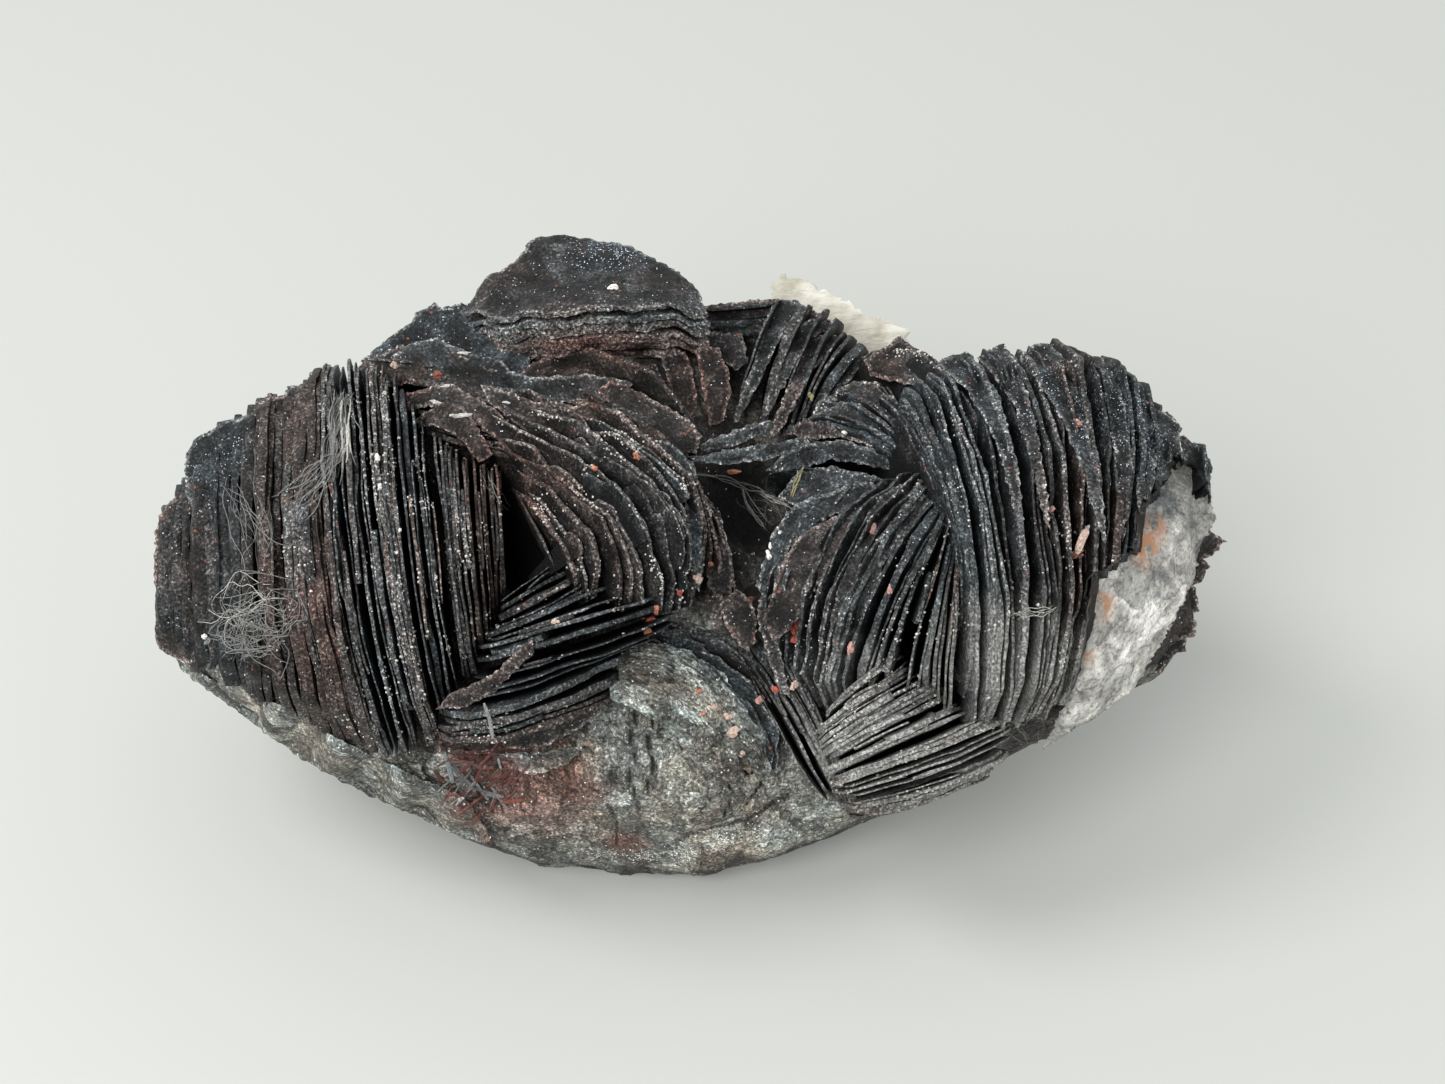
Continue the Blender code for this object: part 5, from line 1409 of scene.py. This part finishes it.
def family_plates(name):
    """One row of numbers for each plate of a family, and for the broken pieces between them."""
    count, thickness, root, lean, wear_and_highlight, keys = FAMILIES[name]
    chance = random.Random(name)
    habit, tone = chance.random(), chance.uniform(*TONE_START)
    rows = []
    for share in shares(count, chance):
        corners = world(between(keys, share))
        middle = (corners[0] + corners[2]) / 2
        short = chance.uniform(*SHORT_RANGE) if chance.random() < SHORT_SHARE else 1.0
        corners[1] = middle + (corners[1] - middle) * short * chance.uniform(*HEIGHT_SHIFT)
        habit = min(1.0, max(0.0, habit + chance.uniform(-HABIT_DRIFT, HABIT_DRIFT)))
        tone = min(1.0, max(0.0, tone + chance.uniform(-TONE_DRIFT, TONE_DRIFT)))
        rows.append(plate_row(corners, chance, thickness, root, lean, habit, tone, wear_and_highlight))
    broken = 0 if name in UNBROKEN else round(count * BROKEN_SHARE)
    for _ in range(broken):
        corners = world(between(keys, chance.random()))
        length = chance.uniform(*BROKEN_LENGTH)
        first = chance.uniform(0.05, 0.95 - length)
        start, crest, end = (on_edge(corners, first + length * place) for place in (0.0, 0.5, 1.0))
        chord = (end - start) / np.linalg.norm(end - start)
        outward = corners[1] - (corners[0] + corners[2]) / 2
        outward = outward - chord * (outward @ chord)
        outward /= np.linalg.norm(outward)
        middle = (start + end) / 2
        rise = max((crest - middle) @ outward, 0.0) + chance.uniform(*BROKEN_RISE) * MM
        part = (start, middle + outward * rise, end)
        size = [whole * share for whole, share in zip((thickness, root, lean), BROKEN_SIZE)]
        rows.append(plate_row(part, chance, *size, chance.random(), chance.random(), wear_and_highlight))
    return rows


def plate_piece(name, families, along, inward, through, tree, material):
    rows = [row for family in families for row in family_plates(family)]
    guide = bpy.data.meshes.new(name)
    guide.from_pydata([tuple(row[1]) for row in rows], [], [])
    for index, label in enumerate(("start", "peak", "end")):
        write_values(guide, label, [row[index] for row in rows], "FLOAT_VECTOR")
    for index, label in enumerate(("thickness", "root", "lean", "habit", "tone", "chance", "wear_and_highlight"), start=3):
        write_values(guide, label, [row[index] for row in rows])
    piece = grown_by(tree, linked(bpy.data.objects.new(name, guide)), Along=along, Inward=inward,
                     Through=through, Material=material)
    for label in ("place", "start", "peak", "end", "thickness", "root", "lean", "habit", "chance"):
        if label in piece.data.attributes:
            piece.data.attributes.remove(piece.data.attributes[label])
    return piece


def keep_clear(piece):
    """Lowers what would stand through the pale pieces, and keeps the piece inside the solids' box."""
    mesh = piece.data
    places = np.empty(len(mesh.vertices) * 3)
    mesh.vertices.foreach_get("co", places)
    points = sheet(places.reshape(-1, 3))
    under_crust = crust_out(points[:, 0], points[:, 1]) - CLEARANCE
    covered = inside(points, CRUST_OUTLINE) & (points[:, 2] > under_crust)
    points[covered, 2] = under_crust[covered]
    from_flake = points[:, 2] - (FLAKE_OUT - FLAKE_THICKNESS / 2)
    reach = FLAKE_THICKNESS / 2 + CLEARANCE
    crossing = inside(points, FLAKE_OUTLINE) & (np.abs(from_flake) < reach)
    points[crossing, 2] += (np.where(from_flake > 0, reach, -reach) - from_flake)[crossing]
    lowest, highest = (np.array(corner) for corner in cad_box)
    kept = np.clip(world(points), lowest, highest)
    mesh.vertices.foreach_set("co", kept.ravel())
    mesh.update()


# The mass behind the plates

def away_from(wide, down, middle, level, half_width, half_height):
    """How far out of an ellipse each point is, squared, 1 on its rim."""
    return ((wide - middle) / half_width) ** 2 + ((down - level) / half_height) ** 2


def body_piece(tree, material):
    stations = np.array(BODY_SECTIONS)
    across = np.arange(stations[0, 0], stations[-1, 0], BODY_STEP)
    sizes = [np.interp(across, stations[:, 0], stations[:, column]) for column in range(1, 5)]
    soften = np.hanning(9) / np.hanning(9).sum()
    top, bottom, front, back = (
        np.convolve(np.pad(size, 4, mode="edge"), soften, mode="valid") for size in sizes)
    turn = np.linspace(0, 2 * math.pi, BODY_POINTS, endpoint=False)
    angle = turn - 0.5 * np.sin(turn - BODY_FOCUS)
    power = 2 / BODY_SQUARENESS
    rise = np.sign(np.cos(angle)) * np.abs(np.cos(angle)) ** power
    reach = np.sign(np.sin(angle)) * np.abs(np.sin(angle)) ** power
    half_down = (bottom - top) / 2 - BODY_SETBACK
    half_out = (front - back) / 2 - BODY_SETBACK
    down = ((top + bottom) / 2)[:, None] - rise * half_down[:, None]
    out = ((front + back) / 2)[:, None] + reach * half_out[:, None]
    wide = np.repeat(across[:, None], BODY_POINTS, 1)
    in_front = np.clip(reach, 0, 1)[None, :] ** 0.5
    for *place, depth in BODY_HOLLOWS:
        out = out - in_front * depth * np.exp(-away_from(wide, down, *place))
    for *place, swell in BODY_SWELLINGS:
        out = out + in_front * swell * np.exp(-away_from(wide, down, *place) ** 1.5)
    flat = np.stack([wide, down], axis=-1).reshape(-1, 2)
    crack = np.zeros(len(flat))
    for line in CRACKS:
        crack = np.maximum(crack, np.exp(-(edge_distance(flat, line, closed=False) / CRACK_WIDTH) ** 2))
    crack = crack.reshape(wide.shape) * in_front
    out = out - crack * CRACK_DEPTH
    points = np.stack([wide, down, out], axis=-1)
    rings = world(points)
    bm = bmesh.new()
    verts = [[bm.verts.new(place) for place in ring] for ring in rings]
    for ring, following in zip(verts, verts[1:]):
        for step in range(BODY_POINTS):
            ahead = (step + 1) % BODY_POINTS
            bm.faces.new((ring[step], ring[ahead], following[ahead], following[step]))
    for ring, places in ((verts[0], rings[0]), (verts[-1], rings[-1])):
        pole = bm.verts.new(places.mean(axis=0))
        for step in range(BODY_POINTS):
            bm.faces.new((ring[step], ring[(step + 1) % BODY_POINTS], pole))
    body = object_from(bm, "cluster_body")
    poles = np.zeros(len(body.data.vertices) - crack.size)
    write_values(body.data, "crack", np.concatenate([crack.ravel(), poles]))
    return grown_by(tree, body, Material=material,
                    **{"Lumps": 0.0007, "Step Height": 0.0017, "Step Scale": 150.0,
                       "Turn": math.radians(70.0), "Stretch": (0.7, 1.0, 1.0)})


def object_from(bm, name):
    bmesh.ops.recalc_face_normals(bm, faces=bm.faces)
    mesh = bpy.data.meshes.new(name)
    bm.to_mesh(mesh)
    bm.free()
    return linked(bpy.data.objects.new(name, mesh))


# Slabs with a broken outline

def ragged_outline(outline, spacing, wander, chance):
    """An outline with points every spacing or so, each moved a little."""
    points = []
    for a, b in zip(outline, outline[1:] + outline[:1]):
        a, b = Vector(a[:2]), Vector(b[:2])
        steps = max(1, round((b - a).length / spacing))
        for step in range(steps):
            point = a.lerp(b, step / steps)
            points.append(point + Vector((chance.uniform(-wander, wander), chance.uniform(-wander, wander))))
    return points


def edge_distance(points, outline, closed=True):
    """How far each point is from the nearest side of a flat outline, or of an open line."""
    nearest = np.full(len(points), 1e9)
    ends = outline[1:] + outline[:1] if closed else outline[1:]
    for a, b in zip(outline, ends):
        a, side = np.array(a), np.array(b) - np.array(a)
        share = np.clip(((points - a) @ side) / max(side @ side, 1e-12), 0, 1)
        nearest = np.minimum(nearest, np.linalg.norm(points - a - share[:, None] * side, axis=1))
    return nearest


def slab(outline, spacing, wander, top, bottom, place, seed):
    """A closed slab over a flat outline: its points, its faces and how far in each point is.

    top and bottom give its heights over many flat points, and place turns them into world points.
    """
    chance = random.Random(seed)
    border = ragged_outline(outline, spacing, wander, chance)
    corners = [tuple(point) for point in border]
    low, high = np.min(corners, axis=0), np.max(corners, axis=0)
    grid = np.stack(np.meshgrid(*(np.arange(a, b, spacing) for a, b in zip(low, high))), -1).reshape(-1, 2)
    grid = grid + np.random.default_rng(len(grid)).uniform(-GRID_STRAY, GRID_STRAY, grid.shape) * spacing
    grid = grid[inside(grid, corners)]
    grid = grid[edge_distance(grid, corners) > spacing * BORDER_ROOM]
    points = border + [Vector(point) for point in grid]
    verts, _, faces, *_ = geometry.delaunay_2d_cdt(points, [], [list(range(len(border)))], 1, 1e-5)
    flat = np.array([tuple(vert) for vert in verts])
    inset = edge_distance(flat, corners)
    bevel = np.clip(1 - inset / EDGE_BAND, 0, 1) * EDGE_BAND * EDGE_BEVEL
    upper = place(flat, top(flat) - bevel)
    lower = place(flat, bottom(flat) + bevel)
    count = len(flat)
    sides = {}
    for face in faces:
        for a, b in zip(face, face[1:] + face[:1]):
            sides[(a, b)] = sides.get((b, a), 0) + 1
            if (b, a) in sides:
                del sides[(a, b)], sides[(b, a)]
    shell = [tuple(face) for face in faces]
    shell += [tuple(i + count for i in reversed(face)) for face in faces]
    shell += [(b, a, a + count, b + count) for a, b in sides]
    return np.concatenate([upper, lower]), shell, np.concatenate([inset, inset])


def joined(name, shapes):
    """One object from closed shapes, each (points, faces)."""
    faces = []
    offset = 0
    for points, shell in shapes:
        faces += [tuple(i + offset for i in face) for face in shell]
        offset += len(points)
    mesh = bpy.data.meshes.new("rough shapes")
    mesh.from_pydata([tuple(point) for points, _ in shapes for point in points], [], faces)
    bm = bmesh.new()
    bm.from_mesh(mesh)
    bpy.data.meshes.remove(mesh)
    return object_from(bm, name)


def assembled(name, slabs, tones):
    """One object from closed slabs, each with its tone."""
    piece = joined(name, [part[:2] for part in slabs])
    inset = np.concatenate([part[2] for part in slabs])
    edgeward = 0.975 + 0.025 * np.clip(1 - inset / EDGE_BAND, 0, 1)
    shades = np.concatenate([np.full(len(points), tone) for (points, *_), tone in zip(slabs, tones)])
    for label, values in (("edgeward", edgeward), ("inset", inset), ("tone", shades),
                          ("wear_and_highlight", np.full(len(inset), SLAB_WEAR_AND_HIGHLIGHT))):
        write_values(piece.data, label, values)
    return piece


def over_corners(corners, drop=0.0):
    """The height of a surface that passes near the corners, as a function of flat points."""
    corners = np.array(corners, float)

    def height(flat):
        away = np.linalg.norm(flat[:, None] - corners[None, :, :2], axis=-1)
        weight = 1 / (away + 0.4) ** 3
        return (corners[:, 2] * weight).sum(axis=1) / weight.sum(axis=1) - drop

    return height


def on_sheet(flat, out):
    return world(np.column_stack([flat, out]))


def on_table(flat, height):
    return np.column_stack([flat, height]) * MM


def flat_corners(corners):
    return [tuple(corner[:2]) for corner in corners]


def grown_layers(corners, count):
    """A shell's growth layers: its corners, then drawn in towards the root and a little further out."""
    for layer in range(count):
        part = 1 - LAYER_SHARE * layer
        yield [(SHELL_ROOT[0] + (across - SHELL_ROOT[0]) * part,
                SHELL_ROOT[1] + (down - SHELL_ROOT[1]) * part,
                out + LAYER_RISE * layer) for across, down, out in corners]


def flakes_piece(name, flakes, tree, material):
    slabs, tones = [], []
    for name_of_one, (thickness, tone, corners) in flakes.items():
        for layer in grown_layers(corners, SHELL_LAYERS.get(name_of_one, 1)):
            slabs.append(slab(flat_corners(layer), FLAKE_SPACING, 0.14, over_corners(layer),
                              over_corners(layer, thickness), on_sheet, name_of_one + str(len(slabs))))
            tones.append(tone)
    return grown_by(tree, assembled(name, slabs, tones), Material=material, Grain=0.00006, Lumps=0.00018,
                    **{"Step Height": 0.0005, "Lump Scale": 190.0, "Steps": 5.0})


def band_piece(tree, material):
    band = slab(flat_corners(BAND_OUTLINE), 0.4, 0.12, over_corners(BAND_OUTLINE),
                over_corners(BAND_OUTLINE, BAND_THICKNESS), on_sheet, "band")
    return grown_by(tree, assembled("flank_band", [band], [0.8]), Material=material, **{
        "Turn": math.radians(30.0), "Stretch": (0.15, 1.0, 1.0), "Lumps": 0.0002,
        "Step Height": 0.0003, "Step Scale": 420.0})


def block_piece(tree, material):
    """The cap and the layers under it, each a little smaller and shifted."""
    outline = world(BLOCK_OUTLINE) / MM
    centre = outline.mean(axis=0)
    slabs = []
    fall = 0.0
    for number, (thickness, part, across, back, _) in enumerate(BLOCK_LAYERS):
        moved = centre + (outline - centre) * part + np.array((across, back, 0.0))
        slabs.append(slab(flat_corners(moved), 0.42, 0.15, over_corners(moved, fall),
                          over_corners(moved, fall + thickness * 1.08), on_table, number))
        fall += thickness
    tones = [layer[-1] for layer in BLOCK_LAYERS]
    return grown_by(tree, assembled("crown_block", slabs, tones), Material=material, Grain=0.00008,
                    Lumps=0.00016, **{"Step Height": 0.0016, "Step Scale": 130.0, "Lump Scale": 130.0})


def crust_height(drop):
    return lambda flat: crust_out(flat[:, 0], flat[:, 1]) - drop


def crust_piece(tree, material):
    crust = slab(CRUST_OUTLINE, 0.24, 0.16, crust_height(0.0), crust_height(CRUST_THICKNESS * 0.8),
                 on_sheet, "crust")
    return grown_by(tree, assembled("matrix_crust_skin", [crust], [0.5]), Material=material, **{
        "Lumps": 0.0004, "Lump Scale": 170.0, "Step Height": 0.0022, "Step Scale": 130.0,
        "Steps": 9.0, "Grain": 0.0001, "Grain Scale": 1300.0, "Turn": CRUST_TURN,
        "Stretch": (0.6, 1.0, 1.0)})


def flake_height(drop):
    return lambda flat: np.full(len(flat), FLAKE_OUT - drop)


def flake_piece(tree, material):
    flake = slab(FLAKE_OUTLINE, 0.4, 0.3, flake_height(0.35), flake_height(FLAKE_THICKNESS - 0.35),
                 on_sheet, "flake")
    return grown_by(tree, assembled("matrix_flake_skin", [flake], [0.5]), Material=material, **{
        "Lumps": 0.0003, "Step Height": 0.0009, "Step Scale": 170.0, "Steps": 6.0,
        "Stretch": (0.5, 1.0, 1.0)})


# What is lodged on the crystals

def surface_of(pieces):
    """The finished pieces as one surface that rays can be cast at."""
    places, corners = [], []
    offset = 0
    for piece in pieces:
        mesh = piece.data
        mesh.calc_loop_triangles()
        place = np.empty(len(mesh.vertices) * 3)
        mesh.vertices.foreach_get("co", place)
        corner = np.empty(len(mesh.loop_triangles) * 3, np.int32)
        mesh.loop_triangles.foreach_get("vertices", corner)
        places.append(place.reshape(-1, 3))
        corners.append(corner.reshape(-1, 3) + offset)
        offset += len(mesh.vertices)
    return bvhtree.BVHTree.FromPolygons(
        np.concatenate(places).tolist(), np.concatenate(corners).tolist(), all_triangles=True)


def outs(surface, flat):
    """How far out of the sheet the surface stands at each flat point, as seen from the front."""
    eye = Vector(np.array(SHEET_STANDS_AT) + OUT * EYE_DISTANCE) * MM
    found = []
    for point in flat:
        toward = Vector(world((point[0], point[1], 0.0))) - eye
        hit = surface.ray_cast(eye, toward.normalized())[0]
        found.append(sheet(hit)[2] if hit else 0.0)
    return np.array(found)


def tube(line, width, depth):
    """A closed tube along world points, thinner at its ends."""
    ahead = np.gradient(line, axis=0)
    ahead /= np.linalg.norm(ahead, axis=1)[:, None]
    sideways = np.cross(ahead, OUT)
    sideways /= np.linalg.norm(sideways, axis=1)[:, None]
    upward = np.cross(sideways, ahead)
    share = np.linspace(-1, 1, len(line))
    full = (1 - TUBE_TAPER * share ** 6) * MM / 2
    turn = np.linspace(0, 2 * math.pi, TUBE_SIDES, endpoint=False)
    rings = (line[:, None] + sideways[:, None] * (np.cos(turn)[None, :] * full[:, None] * width)[..., None]
             + upward[:, None] * (np.sin(turn)[None, :] * full[:, None] * depth)[..., None])
    last_ring = range((len(line) - 1) * TUBE_SIDES, len(line) * TUBE_SIDES)
    faces = [tuple(range(TUBE_SIDES)), tuple(reversed(last_ring))]
    for ring in range(len(line) - 1):
        for side in range(TUBE_SIDES):
            a, b = ring * TUBE_SIDES + side, ring * TUBE_SIDES + (side + 1) % TUBE_SIDES
            faces.append((a, a + TUBE_SIDES, b + TUBE_SIDES, b))
    return rings.reshape(-1, 3), faces


def laid(surface, flat, lift, pulls):
    """World points along a flat line, which rests on the surface and spans its gaps."""
    out = outs(surface, flat)
    for _ in range(pulls):
        padded = np.pad(out, 1, mode="edge")
        out = np.maximum(out, (padded[:-2] + padded[2:]) / 2)
    return world(np.column_stack([flat, out + lift]))


def thread(surface, start, end, bow, chance):
    steps = np.linspace(0, 1, THREAD_POINTS)
    along = end - start
    sideways = np.array((-along[1], along[0])) / max(np.linalg.norm(along), 0.1)
    bend = bow * chance.uniform(-1, 1) * np.sin(math.pi * steps)
    wave = THREAD_WAVE * bow * np.sin(steps * chance.uniform(5, 19) + chance.uniform(0, 6))
    bend = bend + THREAD_BEND * bow * chance.uniform(-1, 1) * np.sin(2 * math.pi * steps)
    flat = start + along * steps[:, None] + sideways * (bend + wave)[:, None]
    return laid(surface, flat, THREAD_LIFT, THREAD_PULLS)


def grain_shape(place, width, height, chance):
    """A few broken lumps, grown together."""
    bm = bmesh.new()
    for _ in range(LUMPS_IN_GRAIN):
        shift = RIGHT * chance.uniform(-0.3, 0.3) * width + UP * chance.uniform(-0.3, 0.3) * height
        size = chance.uniform(0.3, 0.5)
        lump = bmesh.ops.create_icosphere(bm, subdivisions=1, radius=1.0)["verts"]
        for vert in lump:
            jut = 1 + chance.uniform(-0.4, 0.3)
            local = np.array(vert.co) * jut * size
            spread_out = (RIGHT * local[0] * width + UP * local[1] * height
                          + OUT * local[2] * min(width, height))
            vert.co = Vector(place + (shift + spread_out) * MM)
    points = np.array([vert.co for vert in bm.verts])
    faces = [tuple(vert.index for vert in face.verts) for face in bm.faces]
    bm.free()
    return points, faces


def lodged_piece(name, shapes, tints, material):
    """One object from closed shapes, each in its tint."""
    piece = joined(name, shapes)
    hues = [(*TINTS[tint], 1.0) for (points, _), tint in zip(shapes, tints) for _ in points]
    write_values(piece.data, "tint", hues, "FLOAT_COLOR")
    piece.data.materials.append(material)
    return piece


def grains_piece(surface, material):
    chance = random.Random("grains")
    shapes = []
    for across, down, width, height, _ in GRAINS:
        place = laid(surface, [(across, down)], min(width, height) * 0.25, 0)[0]
        shapes.append(grain_shape(place, width, height, chance))
    return lodged_piece("lodged_grains", shapes, [grain[-1] for grain in GRAINS], material)


def lattice():
    """Short red sticks that cross each other in a few directions, as (width, depth, tint, line)."""
    chance = random.Random("lattice")
    low, high = np.min(LATTICE_AREA, axis=0), np.max(LATTICE_AREA, axis=0)
    sticks = []
    while len(sticks) < LATTICE_COUNT:
        middle = np.array([chance.uniform(a, b) for a, b in zip(low, high)])
        way, spread = chance.choice(LATTICE_WAYS)
        turn = math.radians(chance.gauss(way, spread))
        half = np.array((math.cos(turn), math.sin(turn))) * chance.uniform(*LATTICE_LENGTH) / 2
        if inside(middle, LATTICE_AREA):
            tint = chance.choice(("dark_red", "dark_red", "dark_red", "rust", "dust"))
            sticks.append((chance.uniform(*LATTICE_WIDTH), 0.25, tint, (middle - half, middle + half)))
    return sticks


def slats_piece(surface, material):
    slats = list(SLATS) + lattice()
    shapes = []
    for width, depth, _, line in slats:
        line = np.array(line)
        steps = np.linspace(0, len(line) - 1, 9)
        flat = np.column_stack([np.interp(steps, range(len(line)), line[:, axis]) for axis in (0, 1)])
        shapes.append(tube(laid(surface, flat, depth * 0.4, SLAT_PULLS), width, depth))
    return lodged_piece("slats", shapes, [slat[2] for slat in slats], material)


def threads_piece(surface, material):
    chance = random.Random("threads")
    shapes, tints = [], []
    for count, start, start_spread, end, end_spread, bow, thickness, tint in THREADS:
        for _ in range(count):
            first, last = (
                np.array([chance.gauss(middle, spread / 2) for middle, spread in zip(place, spreads)])
                for place, spreads in ((start, start_spread), (end, end_spread)))
            size = thickness * chance.uniform(0.6, 1.3)
            shapes.append(tube(thread(surface, first, last, bow, chance), size, size))
            tints.append(tint)
    return lodged_piece("threads", shapes, tints, material)


def beads_piece(plates, tree, material):
    copied = linked(bpy.data.objects.new(plates.name + "_beads", plates.data.copy()))
    copied.data.materials.clear()
    return grown_by(tree, copied, Material=material)


# Stage

def make_camera():
    camera = bpy.data.objects.new("camera", bpy.data.cameras.new("camera"))
    linked(camera)
    middle = Vector(SHEET_STANDS_AT) * MM
    camera.location = middle + Vector(OUT) * EYE_DISTANCE * MM
    turn = Matrix((RIGHT, UP, OUT)).transposed()
    camera.rotation_euler = turn.to_euler()
    camera.data.sensor_width = SENSOR_WIDTH
    camera.data.lens = SENSOR_WIDTH * EYE_DISTANCE / SHEET_WIDTH
    camera.data.clip_start = 0.01
    camera.data.clip_end = 20.0
    bpy.context.scene.camera = camera


def make_light(name, place, target, size, power, colour):
    light = bpy.data.lights.new(name, "AREA")
    light.shape = "DISK"
    light.size = size
    light.energy = power
    light.color = colour
    lamp = linked(bpy.data.objects.new(name, light))
    lamp.location = place
    lamp.rotation_euler = (Vector(target) - Vector(place)).to_track_quat("-Z", "Y").to_euler()


def make_stage():
    bpy.context.scene.view_settings.view_transform = "Standard"
    bm = bmesh.new()
    bmesh.ops.create_grid(bm, x_segments=2, y_segments=2, size=4.0)
    floor = object_from(bm, "floor")
    material = bpy.data.materials.new("paper floor")
    material.use_nodes = True
    shader = material.node_tree.nodes["Principled BSDF"]
    shader.inputs["Base Color"].default_value = (0.337, 0.343, 0.326, 1.0)
    shader.inputs["Roughness"].default_value = 0.9
    shader.inputs["Emission Color"].default_value = (0.975, 1.0, 0.935, 1.0)
    shader.inputs["Emission Strength"].default_value = 0.085
    floor.data.materials.append(material)
    sky = bpy.context.scene.world or bpy.data.worlds.new("studio")
    bpy.context.scene.world = sky
    sky.use_nodes = True
    background = sky.node_tree.nodes["Background"]
    background.inputs["Color"].default_value = (0.98, 1.0, 1.0, 1.0)
    background.inputs["Strength"].default_value = 1.06
    make_light("window", (-0.41, -0.07, 0.63), (0.0, 0.0, 0.03), 0.32, 3.5, (1.0, 0.99, 0.97))
    make_light("fill", (-0.22, -0.48, 0.48), (0.0, -0.03, 0.02), 0.4, 4.1, (0.98, 1.0, 1.0))


def lodged(piece):
    keep_clear(piece)
    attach(piece, "root")
    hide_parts("hematite_cluster")


def hematite(piece):
    keep_clear(piece)
    piece.data.shade_smooth()
    piece.data.set_sharp_from_angle(angle=HEMATITE_SHARP)
    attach(piece, "root")
    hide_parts("hematite_cluster")
    return piece


def matrix(piece, node):
    piece.data.shade_smooth()
    piece.data.set_sharp_from_angle(angle=MATRIX_SHARP)
    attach(piece, "root")
    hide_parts(node)


def main():
    make_camera()
    make_stage()
    GROUPS["specks"] = speckle_group()
    GROUPS["grain"] = grain_group()
    GROUPS["flaky"] = flaky_group()
    GROUPS["stain"] = stain_group()
    grow_plates, roughen = plates_tree(), relief_tree()
    plate_finish = plate_material()
    body_finish = weathered_material("weathered hematite", 70.0, (0.7, 1.0, 1.0), 1.45)
    band_finish = weathered_material("striated flank", 30.0, (0.25, 1.0, 1.0), 1.15, 0.7)
    shell_finish = weathered_material("striated shell", 26.0, (0.35, 1.0, 1.0), 1.6, 0.9)

    plates = {name: hematite(plate_piece(name, families, *points, grow_plates, plate_finish))
              for name, (families, *points) in PLATE_PIECES.items()}
    front = [
        hematite(body_piece(roughen, body_finish)),
        hematite(block_piece(roughen, plate_finish)),
        hematite(flakes_piece("face_plates", FLAKES, roughen, plate_finish)),
        hematite(flakes_piece("weathered_plates", PALE_FLAKES, roughen, shell_finish)),
        hematite(band_piece(roughen, band_finish)),
    ]
    matrix(crust_piece(roughen, crust_material()), "matrix_crust")
    matrix(flake_piece(roughen, flake_material()), "matrix_flake")

    dusted = [plates[name] for name in DUSTED]
    surface = surface_of(front + dusted + [plates["crown_plates"], plates["belly_shells"]])
    lodged_finish, strew = lodged_material(), beads_tree()
    for piece in dusted:
        lodged(beads_piece(piece, strew, lodged_finish))
    lodged(grains_piece(surface, lodged_finish))
    lodged(slats_piece(surface, lodged_finish))
    lodged(threads_piece(surface, lodged_finish))


main()
